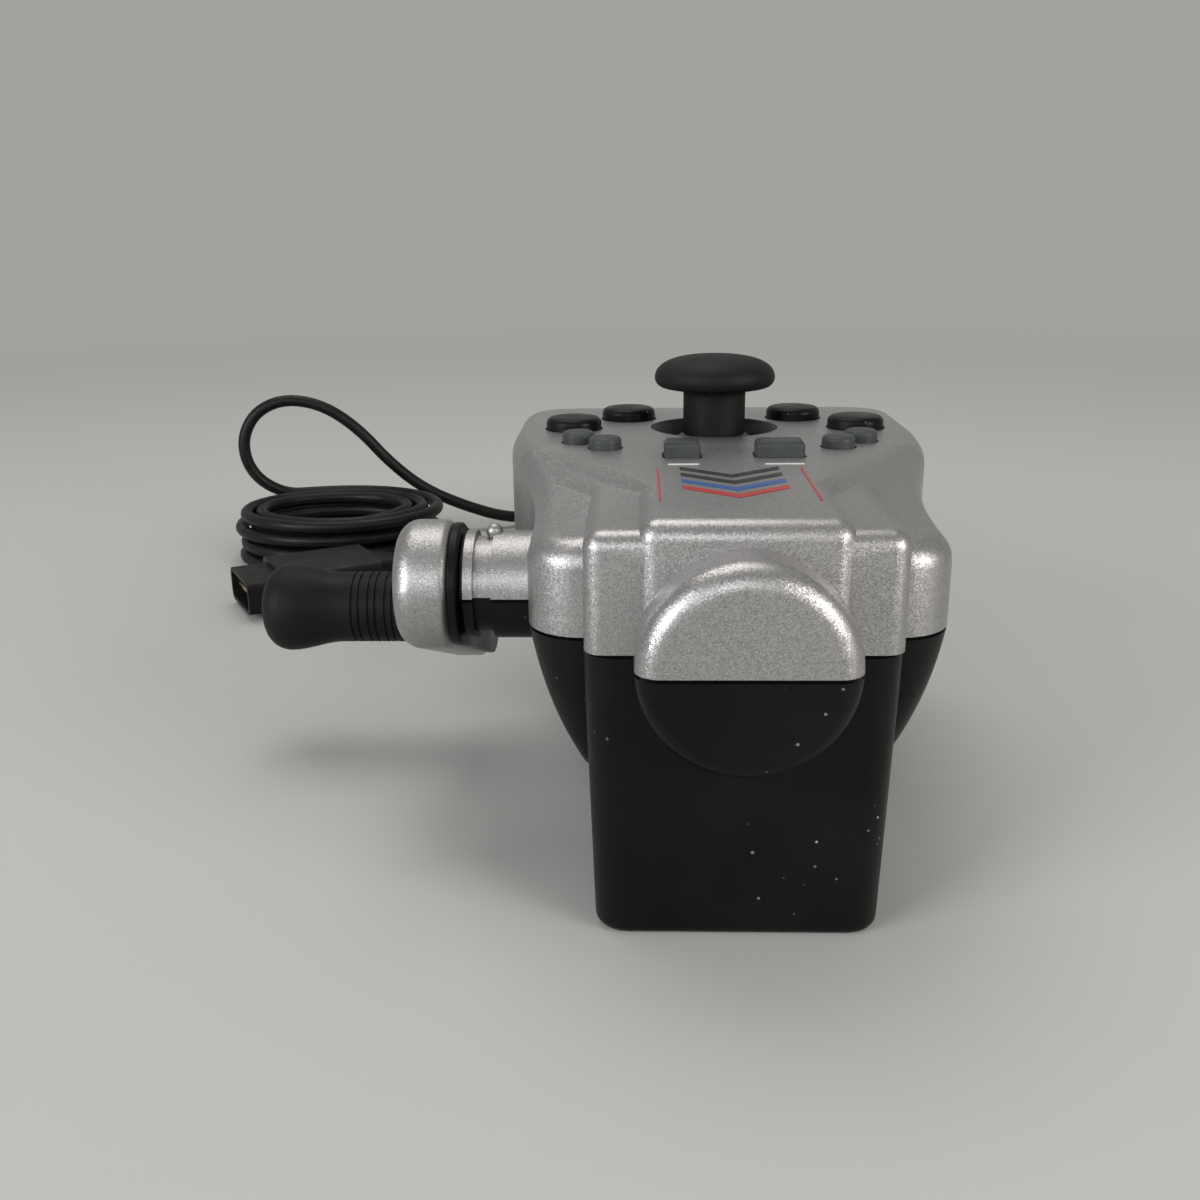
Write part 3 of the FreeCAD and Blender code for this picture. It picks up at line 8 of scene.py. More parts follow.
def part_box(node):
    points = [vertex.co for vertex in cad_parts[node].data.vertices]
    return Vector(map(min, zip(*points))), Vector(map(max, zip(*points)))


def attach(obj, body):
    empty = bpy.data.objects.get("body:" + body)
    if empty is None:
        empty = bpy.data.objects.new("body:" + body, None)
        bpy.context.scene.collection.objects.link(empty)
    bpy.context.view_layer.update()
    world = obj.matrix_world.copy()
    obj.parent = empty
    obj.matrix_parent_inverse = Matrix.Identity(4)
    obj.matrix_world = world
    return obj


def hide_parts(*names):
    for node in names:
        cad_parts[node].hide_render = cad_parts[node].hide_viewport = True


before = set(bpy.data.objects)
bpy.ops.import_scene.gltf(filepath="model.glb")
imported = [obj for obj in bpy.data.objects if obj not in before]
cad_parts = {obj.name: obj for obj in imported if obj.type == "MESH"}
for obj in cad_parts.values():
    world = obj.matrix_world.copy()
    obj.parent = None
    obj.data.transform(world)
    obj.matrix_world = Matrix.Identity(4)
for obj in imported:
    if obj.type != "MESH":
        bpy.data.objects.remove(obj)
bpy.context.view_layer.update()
bpy.ops.object.select_all(action="DESELECT")


# View and studio. The camera stands low in front of the nose, a little to the crank's side, as the
# photograph was taken. The floor and the surroundings are plain and pale. Soft square lamps stand at
# both sides, in front and above.
camera_place = (-0.01377, -0.18429, 0.09581)
camera_pitch = math.radians(17.46)
camera_yaw = math.radians(1.93)
camera_roll = math.radians(-0.65)
bpy.ops.object.camera_add(location=camera_place)
camera = bpy.context.object
camera_turn = Matrix.Rotation(camera_yaw, 3, "Z") @ Matrix.Rotation(math.pi / 2 - camera_pitch, 3, "X")
camera_turn = camera_turn @ Matrix.Rotation(camera_roll, 3, "Z")
camera.rotation_euler = camera_turn.to_euler()
camera.data.sensor_width = 36
camera.data.lens = 36
camera.data.clip_start = 0.005
bpy.context.scene.camera = camera
bpy.context.scene.view_settings.view_transform = "Standard"


def add_lamp(name, place, aim, size, power, colour):
    """Square soft lamp that faces a point."""
    facing = (Vector(aim) - Vector(place)).to_track_quat("-Z", "Y").to_euler()
    bpy.ops.object.light_add(type="AREA", location=place, rotation=facing)
    lamp = bpy.context.object
    lamp.name = name
    lamp.data.size = size
    lamp.data.energy = power
    lamp.data.color = colour


lit_point = (0, -0.02, 0.04)
add_lamp("ceiling_lamp", (-0.15, 0.35, 1.1), lit_point, size=0.7, power=4.4, colour=(1, 0.98, 0.95))
add_lamp("left_lamp", (-0.80, -0.62, 0.36), lit_point, size=0.5, power=7.0, colour=(0.96, 0.98, 1))
add_lamp("right_lamp", (0.80, -0.60, 0.36), lit_point, size=0.45, power=6.5, colour=(1, 0.97, 0.92))
add_lamp("front_lamp", (-0.1, -1.3, 0.60), lit_point, size=0.4, power=3.0, colour=(1, 1, 1))


def start_finish(name, colour, roughness, metallic=0.0):
    """New finish with plain values on its shader, and the place on the object as coordinates."""
    finish = bpy.data.materials.new(name)
    finish.use_nodes = True
    shader = finish.node_tree.nodes["Principled BSDF"]
    shader.inputs["Base Color"].default_value = (*colour, 1)
    shader.inputs["Roughness"].default_value = roughness
    shader.inputs["Metallic"].default_value = metallic
    place = finish.node_tree.nodes.new("ShaderNodeTexCoord")
    return finish.node_tree, shader, place.outputs["Object"], finish


def grain(tree, place, scale, detail=2.0):
    """Soft random pattern; scale is how many patches fit in a metre."""
    node = tree.nodes.new("ShaderNodeTexNoise")
    node.inputs["Scale"].default_value = scale
    node.inputs["Detail"].default_value = detail
    tree.links.new(place, node.inputs["Vector"])
    return node.outputs["Fac"]


def spread(tree, value, low, high, from_low=0.3, from_high=0.7):
    """Stretches a pattern between two values."""
    node = tree.nodes.new("ShaderNodeMapRange")
    ends = {"From Min": from_low, "From Max": from_high, "To Min": low, "To Max": high}
    for key, number in ends.items():
        node.inputs[key].default_value = number
    tree.links.new(value, node.inputs["Value"])
    return node.outputs["Result"]


def blend_colours(tree, share, first, second):
    """Mix of two colours, each plain or taken from another mix."""
    node = tree.nodes.new("ShaderNodeMix")
    node.data_type = "RGBA"
    tree.links.new(share, node.inputs["Factor"])
    for key, colour in (("A", first), ("B", second)):
        socket = [entry for entry in node.inputs if entry.name == key and entry.type == "RGBA"][0]
        if isinstance(colour, tuple):
            socket.default_value = (*colour, 1)
        else:
            tree.links.new(colour, socket)
    return [entry for entry in node.outputs if entry.type == "RGBA"][0]


def raise_bumps(tree, shader, height, depth, strength=1.0):
    """Relief of a given depth in metres under the shader."""
    node = tree.nodes.new("ShaderNodeBump")
    node.inputs["Distance"].default_value = depth
    node.inputs["Strength"].default_value = strength
    tree.links.new(height, node.inputs["Height"])
    tree.links.new(node.outputs["Normal"], shader.inputs["Normal"])


def seen_directly(tree):
    """1 for rays that show a surface itself or its mirror image, 0 for rays that only bring light."""
    rays = tree.nodes.new("ShaderNodeLightPath")
    total = rays.outputs["Is Camera Ray"]
    for name in ("Is Glossy Ray", "Is Transmission Ray"):
        node = tree.nodes.new("ShaderNodeMath")
        node.use_clamp = True
        tree.links.new(total, node.inputs[0])
        tree.links.new(rays.outputs[name], node.inputs[1])
        total = node.outputs[0]
    return total


def product(tree, first, second):
    """One pattern times another."""
    node = tree.nodes.new("ShaderNodeMath")
    node.operation = "MULTIPLY"
    tree.links.new(first, node.inputs[0])
    tree.links.new(second, node.inputs[1])
    return node.outputs[0]


floor_size = 60
floor_colour = (0.47, 0.472, 0.455)
far_colour = (0.36, 0.362, 0.348, 1)
fade_start = 0.30
fade_end = 1.0
room_colour = (0.62, 0.62, 0.60, 1)
room_strength = 0.6
bpy.ops.mesh.primitive_plane_add(size=floor_size, location=(0, 0, 0))
floor = bpy.context.object
floor.name = "floor"
tree, shader, place, finish = start_finish("pale_floor", floor_colour, 0.85)
shader.inputs["Specular IOR Level"].default_value = 0.15
distance = tree.nodes.new("ShaderNodeVectorMath")
distance.operation = "LENGTH"
tree.links.new(place, distance.inputs[0])
far_share = spread(tree, distance.outputs["Value"], 0, 1, fade_start, fade_end)
plain = tree.nodes.new("ShaderNodeEmission")
plain.inputs["Color"].default_value = far_colour
join = tree.nodes.new("ShaderNodeMixShader")
tree.links.new(product(tree, far_share, seen_directly(tree)), join.inputs["Fac"])
tree.links.new(shader.outputs["BSDF"], join.inputs[1])
tree.links.new(plain.outputs["Emission"], join.inputs[2])
tree.links.new(join.outputs["Shader"], tree.nodes["Material Output"].inputs["Surface"])
floor.data.materials.append(finish)
world = bpy.data.worlds.new("pale_room")
bpy.context.scene.world = world
world.use_nodes = True
room = world.node_tree
room.nodes["Background"].inputs["Color"].default_value = room_colour
room.nodes["Background"].inputs["Strength"].default_value = room_strength
backdrop = room.nodes.new("ShaderNodeBackground")
backdrop.inputs["Color"].default_value = far_colour
join = room.nodes.new("ShaderNodeMixShader")
room.links.new(seen_directly(room), join.inputs["Fac"])
room.links.new(room.nodes["Background"].outputs["Background"], join.inputs[1])
room.links.new(backdrop.outputs["Background"], join.inputs[2])
room.links.new(join.outputs["Shader"], room.nodes["World Output"].inputs["Surface"])


# Cord. Limp black sheathed lead, about 1.7 m. It leaves the butt's strain relief, crosses the ground,
# stands up in one loose loop and lies in a coil of ten turns, whose other end goes to the plug.
cord_radius = 0.0018
cord_free_run = 0.008
handle_bend = Vector((0, 0.073, 0.0422))
handle_droop = math.radians(15)
handle_along = Vector((0, math.cos(handle_droop), -math.sin(handle_droop)))
relief_edge_reach = 0.0007
relief_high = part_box("strain_relief")[1]
relief_along = (relief_high[1] - relief_edge_reach - handle_bend.y) / handle_along.y
relief_tip = handle_bend + handle_along * relief_along
coil_centre = Vector((-0.104, 0.167, cord_radius))
coil_half_length = 0.031
coil_half_depth = 0.026
coil_turns = 10.25
coil_layers = 4
coil_step = 0.0043
coil_fan = 0.1
coil_layer_height = 0.00415
coil_climb = 0.5
coil_start_angle = math.radians(20)
points_per_turn = 24
small_turn = 0.001
millimetre = 0.001
ground_route = ((-3.5, 17.3, 4.4), (-11, 24.3, 2.6), (-22.5, 25.8, 2.1), (-34.5, 19.8, 2.0),
                (-46, 11.3, 2.1), (-57.5, 3.8, 3.6), (-70, 1.3, 8))
loop_route = ((35.4, 3.1, 0.2), (24.9, 1.7, 9.3), (16.2, 0.3, 20.2), (5.8, -1, 28), (-5.6, -2.8, 30.4),
              (-14.5, -4.6, 26.8), (-19, -5.7, 19.3), (-18.9, -5.7, 11.3), (-15.1, -4.6, 4.5))
tail_route = ((6.7, -16.1, 1.9), (8.4, -25.8, 3.6))
plug_tip = Vector((-0.117, 0.110, 0.0058))
plug_bearing = math.radians(30)
plug_along = Vector((math.cos(plug_bearing), math.sin(plug_bearing), 0))
plug_reach = 0.047


def coil_point(turn):
    """Centre line of the coil: layers that wind in and out again and climb where they reverse."""
    per_layer = coil_turns / coil_layers
    phase = turn % (2 * per_layer)
    inward = min(phase, 2 * per_layer - phase)
    angle = coil_start_angle + 2 * math.pi * turn
    step = coil_step * (1 + coil_fan * (1 + math.sin(angle)) / 2)
    rise = 0
    for number in range(1, coil_layers):
        share = min(max((turn - number * per_layer) / coil_climb + 0.5, 0), 1)
        rise += coil_layer_height * share * share * (3 - 2 * share)
    return coil_centre + Vector(((coil_half_length - step * inward) * math.cos(angle),
                                 (coil_half_depth - step * inward) * math.sin(angle), rise))


def shifted(base, route):
    """Points of a route whose offsets are given in millimetres from a base."""
    return [base + Vector(offset) * millimetre for offset in route]


count = round(coil_turns * points_per_turn)
coil_line = [coil_point(coil_turns * number / count) for number in range(count + 1)]
coil_first = (coil_line[0] - coil_point(small_turn)).normalized()
coil_last = (coil_line[-1] - coil_point(coil_turns - small_turn)).normalized()
coil_start = coil_line[0] + coil_first * (2 * cord_radius)
coil_end = coil_line[-1] + coil_last * (2 * cord_radius)
cord_line = [relief_tip, relief_tip + handle_along * cord_free_run]
cord_line += shifted(Vector((0, relief_tip.y, 0)), ground_route)
cord_line += shifted(coil_end, loop_route)
cord_line += [coil_end + coil_last * cord_free_run, coil_end]
cord_line += list(reversed(coil_line))
cord_line += [coil_start, coil_start + coil_first * cord_free_run]
cord_line += shifted(Vector((coil_start.x, coil_start.y, 0)), tail_route)
plug_exit = plug_tip + plug_along * plug_reach
cord_line += [plug_exit + plug_along * cord_free_run, plug_exit]
cord_curve = bpy.data.curves.new("cord", "CURVE")
cord_curve.dimensions = "3D"
strand = cord_curve.splines.new("NURBS")
strand.points.add(len(cord_line) - 1)
for point, spot in zip(strand.points, cord_line):
    point.co = (*spot, 1)
strand.order_u = 3
strand.use_endpoint_u = True
strand.resolution_u = 5
cord_curve.bevel_depth = cord_radius
cord_curve.bevel_resolution = 4
cord_curve.use_fill_caps = True
cord = bpy.data.objects.new("cord", cord_curve)
bpy.context.collection.objects.link(cord)
tree, shader, place, cord_finish = start_finish("cord_sheath", (0.006, 0.006, 0.0065), 0.5)
wear = grain(tree, place, 260, 4)
tree.links.new(spread(tree, wear, 0.36, 0.52), shader.inputs["Roughness"])
worn_share = spread(tree, wear, 0, 0.35)
worn = blend_colours(tree, worn_share, (0.004, 0.004, 0.0044), (0.011, 0.0107, 0.0102))
shader.inputs["Specular IOR Level"].default_value = 0.22
tree.links.new(worn, shader.inputs["Base Color"])
raise_bumps(tree, shader, grain(tree, place, 1500), 0.00004, 0.6)
cord_curve.materials.append(cord_finish)
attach(cord, "housing")
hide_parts("cord_lead", "cord_coil", "cord_tail")


# Plug. Flat black moulded grip with a tapered boot, and a thin nose round a row of gilded contacts. It is
# moulded on the cord's end and lies beside the coil.
def dress(node, finish):
    """Gives a piece of the frame its finish."""
    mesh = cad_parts[node].data
    mesh.materials.clear()
    mesh.materials.append(finish)


tree, shader, place, plug_finish = start_finish("plug_moulding", (0.006, 0.006, 0.0064), 0.5)
shader.inputs["Specular IOR Level"].default_value = 0.22
raise_bumps(tree, shader, grain(tree, place, 2600, 3), 0.00006, 0.8)
tree.links.new(spread(tree, grain(tree, place, 180, 4), 0.38, 0.55), shader.inputs["Roughness"])
tree, shader, place, contact_finish = start_finish("contact_metal", (0.78, 0.62, 0.32), 0.25, 1.0)
tree.links.new(spread(tree, grain(tree, place, 900, 3), 0.18, 0.4), shader.inputs["Roughness"])
dress("plug_body", plug_finish)
dress("plug_nose", plug_finish)
dress("plug_contacts", contact_finish)


# Strain relief. Soft black sleeve with rings, moulded on the cord. The butt cap holds it by its collar,
# and its tapered end keeps the cord from kinking where it leaves the handle.
tree, shader, place, relief_finish = start_finish("relief_rubber", (0.014, 0.014, 0.015), 0.6)
raise_bumps(tree, shader, grain(tree, place, 3000, 3), 0.00005, 0.7)
dress("strain_relief", relief_finish)


# Lower housing shell. Black satin moulding: the deep keel box, both flanks, and the lower halves of the
# nose boss, of the reel's stub and of the handle. Fine dust and a little lint have settled on it.
merge_distance = 0.000002


def merged_copy(node, name, smooth_angle):
    """Copy of a shell's mesh with its corners merged and its round faces shaded smooth."""
    piece = bpy.data.objects.new(name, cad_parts[node].data.copy())
    bpy.context.collection.objects.link(piece)
    bpy.ops.object.select_all(action="DESELECT")
    piece.select_set(True)
    bpy.context.view_layer.objects.active = piece
    bpy.ops.object.mode_set(mode="EDIT")
    bpy.ops.mesh.select_all(action="SELECT")
    bpy.ops.mesh.remove_doubles(threshold=merge_distance)
    bpy.ops.mesh.customdata_custom_splitnormals_clear()
    bpy.ops.object.mode_set(mode="OBJECT")
    bpy.ops.object.shade_smooth_by_angle(angle=math.radians(smooth_angle))
    return piece


def settle(piece, finish, body, slot, *nodes):
    """Puts the finish on a finished piece, fixes it to its body and lets it stand for its nodes."""
    piece.data.materials.clear()
    piece.data.materials.append(finish)
    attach(piece, body)
    if nodes:
        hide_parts(*nodes)


def cells(tree, place, scale, output="Distance", randomness=1.0):
    """Pattern of scattered cells; scale is how many fit in a metre."""
    node = tree.nodes.new("ShaderNodeTexVoronoi")
    node.inputs["Scale"].default_value = scale
    node.inputs["Randomness"].default_value = randomness
    tree.links.new(place, node.inputs["Vector"])
    return node.outputs[output]


def dust_share(tree, place, scale, size):
    """Where single dust specks lie: a few of the cells, each with a small irregular spot."""
    spots = spread(tree, cells(tree, place, scale), 1, 0, size * 0.6, size)
    patches = spread(tree, grain(tree, place, scale * 0.12, 3), 0, 1, 0.52, 0.60)
    return product(tree, spots, patches)


tree, shader, place, black_finish = start_finish("black_moulding", (0.004, 0.004, 0.0044), 0.34)
haze = grain(tree, place, 55, 6)
dust = dust_share(tree, place, 420, 0.11)
lint = dust_share(tree, place, 170, 0.05)
haze_share = spread(tree, haze, 0, 1, 0.35, 0.75)
base = blend_colours(tree, haze_share, (0.003, 0.003, 0.0033), (0.006, 0.0059, 0.0057))
base = blend_colours(tree, dust, base, (0.16, 0.155, 0.14))
base = blend_colours(tree, lint, base, (0.42, 0.40, 0.36))
tree.links.new(base, shader.inputs["Base Color"])
tree.links.new(spread(tree, haze, 0.30, 0.46), shader.inputs["Roughness"])
shader.inputs["Specular IOR Level"].default_value = 0.14
raise_bumps(tree, shader, grain(tree, place, 1400, 3), 0.00003, 0.5)
lower_shell = merged_copy("bottom_shell", "lower_shell", 32)
settle(lower_shell, black_finish, "housing", "black_shell", "bottom_shell")


# Screws and steel parts. Zinc-plated self-tapping screws deep in the lower shell's recesses and under the
# button board, the reel's shaft with its clip, the knob's pin, and the pressed case of the stick.
tree, shader, place, steel_finish = start_finish("plated_steel", (0.55, 0.55, 0.56), 0.3, 1.0)
tree.links.new(spread(tree, grain(tree, place, 1200, 3), 0.22, 0.42), shader.inputs["Roughness"])
for node in ("shell_screws", "board_screws", "shaft_clips", "knob_pin", "reel_shaft", "stick_case"):
    dress(node, steel_finish)


# Rumble motor. Closed steel can in two saddles inside the keel. An off-centre weight of sintered brass is
# pressed on its shaft and shakes the housing as it turns.
tree, shader, place, motor_finish = start_finish("motor_can", (0.5, 0.5, 0.5), 0.35, 1.0)
tree.links.new(spread(tree, grain(tree, place, 500, 4), 0.28, 0.5), shader.inputs["Roughness"])
dress("rumble_motor", motor_finish)
tree, shader, place, brass_finish = start_finish("sintered_brass", (0.52, 0.42, 0.22), 0.45, 1.0)
raise_bumps(tree, shader, grain(tree, place, 2400, 3), 0.00004, 0.8)
dress("motor_weight", brass_finish)


# Boards. Green glass-fibre boards that carry the button contacts, the stick's case and the reel's light
# barrier. They stand on posts and on a ledge of the shells.
board_colour = (0.012, 0.085, 0.03)
track_colour = (0.02, 0.13, 0.045)
tree, shader, place, board_finish = start_finish("green_board", board_colour, 0.3)
tracks = spread(tree, cells(tree, place, 300, "Distance", 0.2), 0, 1, 0.4, 0.5)
tree.links.new(blend_colours(tree, tracks, board_colour, track_colour), shader.inputs["Base Color"])
for node in ("button_board", "stick_board", "reel_sensor"):
    dress(node, board_finish)


# Silicone mats. Soft grey sheets on the button board, moulded with a dome under each button. A dome folds
# when its button is pressed and then pushes it back.
tree, shader, place, silicone_finish = start_finish("grey_silicone", (0.20, 0.21, 0.22), 0.55)
raise_bumps(tree, shader, grain(tree, place, 2000, 2), 0.00003, 0.5)
for node in ("button_mat_left", "button_mat_right", "button_mat_middle"):
    dress(node, silicone_finish)


# Reel parts inside. Turned bushes of white acetal carry the steel shaft in the stub and in a block inside,
# and a slotted wheel on the shaft turns with it through the light barrier.
tree, shader, place, acetal_finish = start_finish("white_acetal", (0.72, 0.71, 0.68), 0.38)
tree.links.new(spread(tree, grain(tree, place, 700, 3), 0.32, 0.46), shader.inputs["Roughness"])
for node in ("reel_bushes", "encoder_wheel"):
    dress(node, acetal_finish)


# Crank arm. Black inner plate on the shaft, and over it a thick rounded arm with the same silver flake
# paint as the upper shell. Both taper a little from the hub to the knob's end.
flakes_per_metre = 7000
flake_tilt = 0.20


def silver_paint(name):
    """Silver paint with fine metal flakes, each tipped its own way, and slightly duller patches."""
    tree, shader, place, finish = start_finish(name, (0.37, 0.362, 0.362), 0.40, 0.95)
    flake = cells(tree, place, flakes_per_metre, "Color")
    centred = tree.nodes.new("ShaderNodeVectorMath")
    centred.operation = "MULTIPLY_ADD"
    centred.inputs[1].default_value = 3 * (flake_tilt,)
    centred.inputs[2].default_value = 3 * (-flake_tilt / 2,)
    tree.links.new(flake, centred.inputs[0])
    surface = tree.nodes.new("ShaderNodeNewGeometry")
    tipped = tree.nodes.new("ShaderNodeVectorMath")
    tipped.operation = "ADD"
    tree.links.new(surface.outputs["Normal"], tipped.inputs[0])
    tree.links.new(centred.outputs[0], tipped.inputs[1])
    level = tree.nodes.new("ShaderNodeVectorMath")
    level.operation = "NORMALIZE"
    tree.links.new(tipped.outputs[0], level.inputs[0])
    tree.links.new(level.outputs[0], shader.inputs["Normal"])
    split = tree.nodes.new("ShaderNodeSeparateColor")
    tree.links.new(flake, split.inputs["Color"])
    paint = blend_colours(tree, split.outputs["Red"], (0.27, 0.263, 0.263), (0.48, 0.47, 0.47))
    haze = grain(tree, place, 45, 5)
    paint = blend_colours(tree, spread(tree, haze, 0, 0.35, 0.45, 0.75), paint, (0.34, 0.333, 0.33))
    tree.links.new(paint, shader.inputs["Base Color"])
    tree.links.new(spread(tree, haze, 0.36, 0.44), shader.inputs["Roughness"])
    shader.inputs["Coat Weight"].default_value = 0.12
    shader.inputs["Coat Roughness"].default_value = 0.3
    return finish


double_distance = 0.000001
hair = 0.00001


def finish_shape(piece, smooth_angle, name, outward=False):
    """Ends the shaping: the place goes into the mesh, doubles go, and the faces are turned outwards.

    With outward, they point that way already and stay as they are."""
    piece.name = name
    bpy.ops.object.mode_set(mode="EDIT")
    bpy.ops.mesh.select_all(action="SELECT")
    bpy.ops.mesh.remove_doubles(threshold=double_distance)
    if not outward:
        bpy.ops.mesh.normals_make_consistent(inside=False)
    bpy.ops.object.mode_set(mode="OBJECT")
    bpy.ops.object.select_all(action="DESELECT")
    piece.select_set(True)
    bpy.context.view_layer.objects.active = piece
    bpy.ops.object.transform_apply(location=True, rotation=True, scale=True)
    bpy.ops.object.shade_smooth_by_angle(angle=math.radians(smooth_angle))
    return piece


def select_by(piece, test):
    """Selects the vertices of the piece in edit mode whose own coordinates pass a test."""
    bpy.ops.mesh.select_mode(type="VERT")
    bpy.ops.mesh.select_all(action="DESELECT")
    shape = bmesh.from_edit_mesh(piece.data)
    for vertex in shape.verts:
        vertex.select = test(vertex.co)
    shape.select_flush(True)
    bmesh.update_edit_mesh(piece.data)


shaft_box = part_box("reel_shaft")
reel_axis = (Vector(shaft_box[0]) + Vector(shaft_box[1])) / 2
knob_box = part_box("crank_knob")
crank_reach = (Vector(knob_box[0]) + Vector(knob_box[1])) / 2 - reel_axis
crank_length = math.hypot(crank_reach.y, crank_reach.z)
crank_droop = math.atan2(-crank_reach.z, crank_reach.y)
crank_sides = 96
crank_hub_radius = 0.0101
crank_tip_radius = 0.0092
crank_round_steps = 8


def crank_slab(name, node, rim, outer_round, inner_round):
    """Round disc whose one half is pulled out to the knob's end, then thickened and rounded off."""
    low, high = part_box(node)
    thickness = high[0] - low[0]
    bpy.ops.mesh.primitive_circle_add(vertices=crank_sides, radius=crank_hub_radius - rim, fill_type="NGON")
    piece = bpy.context.object
    bpy.ops.object.mode_set(mode="EDIT")
    select_by(piece, lambda spot: spot.y > hair)
    share = (crank_tip_radius - rim) / (crank_hub_radius - rim)
    bpy.ops.transform.resize(value=(share, share, 1), center_override=(0, 0, 0))
    bpy.ops.transform.translate(value=(0, crank_length, 0))
    bpy.ops.mesh.select_all(action="SELECT")
    bpy.ops.mesh.extrude_region_move(TRANSFORM_OT_translate={"value": (0, 0, thickness)})
    for height, radius in ((thickness, outer_round), (0, inner_round)):
        select_by(piece, lambda spot: abs(spot.z - height) < hair)
        bpy.ops.mesh.region_to_loop()
        bpy.ops.mesh.bevel(offset=radius, segments=crank_round_steps, affect="EDGES", clamp_overlap=True)
    bpy.ops.object.mode_set(mode="OBJECT")
    turn = Matrix.Rotation(-crank_droop, 4, "X") @ Matrix.Rotation(-math.pi / 2, 4, "Y")
    piece.matrix_world = Matrix.Translation((high[0], reel_axis.y, reel_axis.z)) @ turn
    return finish_shape(piece, 30, name)


silver_finish = silver_paint("silver_flake_paint")
crank_arm = crank_slab("crank_arm", "crank_cover", rim=0, outer_round=0.0034, inner_round=0.0014)
settle(crank_arm, silver_finish, "crank", "silver_shell", "crank_cover")
crank_plate = crank_slab("crank_plate", "crank_base", rim=0.0005, outer_round=0.0002, inner_round=0.0004)
settle(crank_plate, black_finish, "crank", "black_shell", "crank_base")


# Crank knob. Black soft-touch turned form that spins on its steel pin: a neck with four pairs of fine
# rings, which flares into a round bulb at the outer end.
def raise_rings(name, foot, rings, sides=96, along="Z", smooth_angle=35, closed=False):
    """Turned piece: a circle that is extruded ring by ring, and each ring scaled to its radius.

    A closed one has no end faces: its last ring lies on its first."""
    height, radius = rings[0]
    bpy.ops.mesh.primitive_circle_add(vertices=sides, radius=radius, location=(0, 0, height),
                                      fill_type="NOTHING" if closed else "NGON")
    piece = bpy.context.object
    bpy.ops.object.mode_set(mode="EDIT")
    bpy.ops.mesh.select_all(action="SELECT")
    for new_height, new_radius in rings[1:]:
        bpy.ops.mesh.extrude_region_move(TRANSFORM_OT_translate={"value": (0, 0, new_height - height)})
        share = new_radius / radius
        bpy.ops.transform.resize(value=(share, share, 1), center_override=(0, 0, new_height))
        height, radius = new_height, new_radius
    bpy.ops.object.mode_set(mode="OBJECT")
    bpy.ops.object.transform_apply(location=True, rotation=True, scale=True)
    turns = {"Z": Matrix.Identity(4), "-X": Matrix.Rotation(-math.pi / 2, 4, "Y")}
    piece.matrix_world = Matrix.Translation(foot) @ turns[along]
    return finish_shape(piece, smooth_angle, name)


def arc_rings(centre_height, centre_radius, radius, first_degrees, last_degrees, steps):
    """Rings round a quarter-round edge; 0 degrees points outwards and 90 up."""
    found = []
    for number in range(steps + 1):
        angle = math.radians(first_degrees + (last_degrees - first_degrees) * number / steps)
        found.append((centre_height + radius * math.sin(angle), centre_radius + radius * math.cos(angle)))
    return found


tree, shader, place, rubber_finish = start_finish("soft_black", (0.006, 0.006, 0.0064), 0.55)
scuff = grain(tree, place, 120, 5)
scuff_share = spread(tree, scuff, 0, 1, 0.4, 0.8)
scuffed = blend_colours(tree, scuff_share, (0.0055, 0.0055, 0.006), (0.012, 0.0117, 0.0113))
tree.links.new(scuffed, shader.inputs["Base Color"])
tree.links.new(spread(tree, scuff, 0.48, 0.62), shader.inputs["Roughness"])
shader.inputs["Specular IOR Level"].default_value = 0.16
raise_bumps(tree, shader, grain(tree, place, 5200, 2), 0.00002, 0.6)
knob_low, knob_high = knob_box
knob_length = knob_high[0] - knob_low[0]
knob_centre = Vector((knob_high[0], (knob_low[1] + knob_high[1]) / 2, (knob_low[2] + knob_high[2]) / 2))
knob_bulb_radius = (knob_high[2] - knob_low[2]) / 2
knob_neck_radius = 0.0066
knob_foot_radius = 0.002
knob_foot_round = 0.0008
knob_ring_depth = 0.00028
knob_ring_width = 0.0005
knob_ring_step = 0.0013
knob_pair_step = 0.0031
knob_pair_start = 0.0046
knob_pairs = 4
knob_flare_start = knob_length * 0.55
knob_flare_end = knob_length * 0.85
knob_end_fullness = 0.62
knob_steps = 12
pole_radius = 0.0001
knob_rings = [(0, knob_foot_radius), (0, knob_neck_radius - knob_foot_round)]
knob_rings += arc_rings(knob_foot_round, knob_neck_radius - knob_foot_round, knob_foot_round, -80, 0, 4)
for pair in range(knob_pairs):
    for groove in (0, 1):
        start = knob_pair_start + pair * knob_pair_step + groove * knob_ring_step
        for step, depth in ((0, 0), (0.2, 1), (0.8, 1), (1, 0)):
            groove_radius = knob_neck_radius - depth * knob_ring_depth
            knob_rings.append((start + step * knob_ring_width, groove_radius))
for number in range(knob_steps + 1):
    share = number / knob_steps
    ease = share * share * (3 - 2 * share)
    knob_rings.append((knob_flare_start + (knob_flare_end - knob_flare_start) * share,
                       knob_neck_radius + (knob_bulb_radius - knob_neck_radius) * ease))
for number in range(1, knob_steps + 1):
    angle = math.pi / 2 * number / knob_steps
    fullness = math.cos(angle) ** knob_end_fullness
    knob_rings.append((knob_flare_end + (knob_length - knob_flare_end) * math.sin(angle),
                       pole_radius + (knob_bulb_radius - pole_radius) * fullness))
knob = raise_rings("knob", knob_centre, knob_rings, along="-X", smooth_angle=50)
settle(knob, rubber_finish, "knob", "black_rubber", "crank_knob")


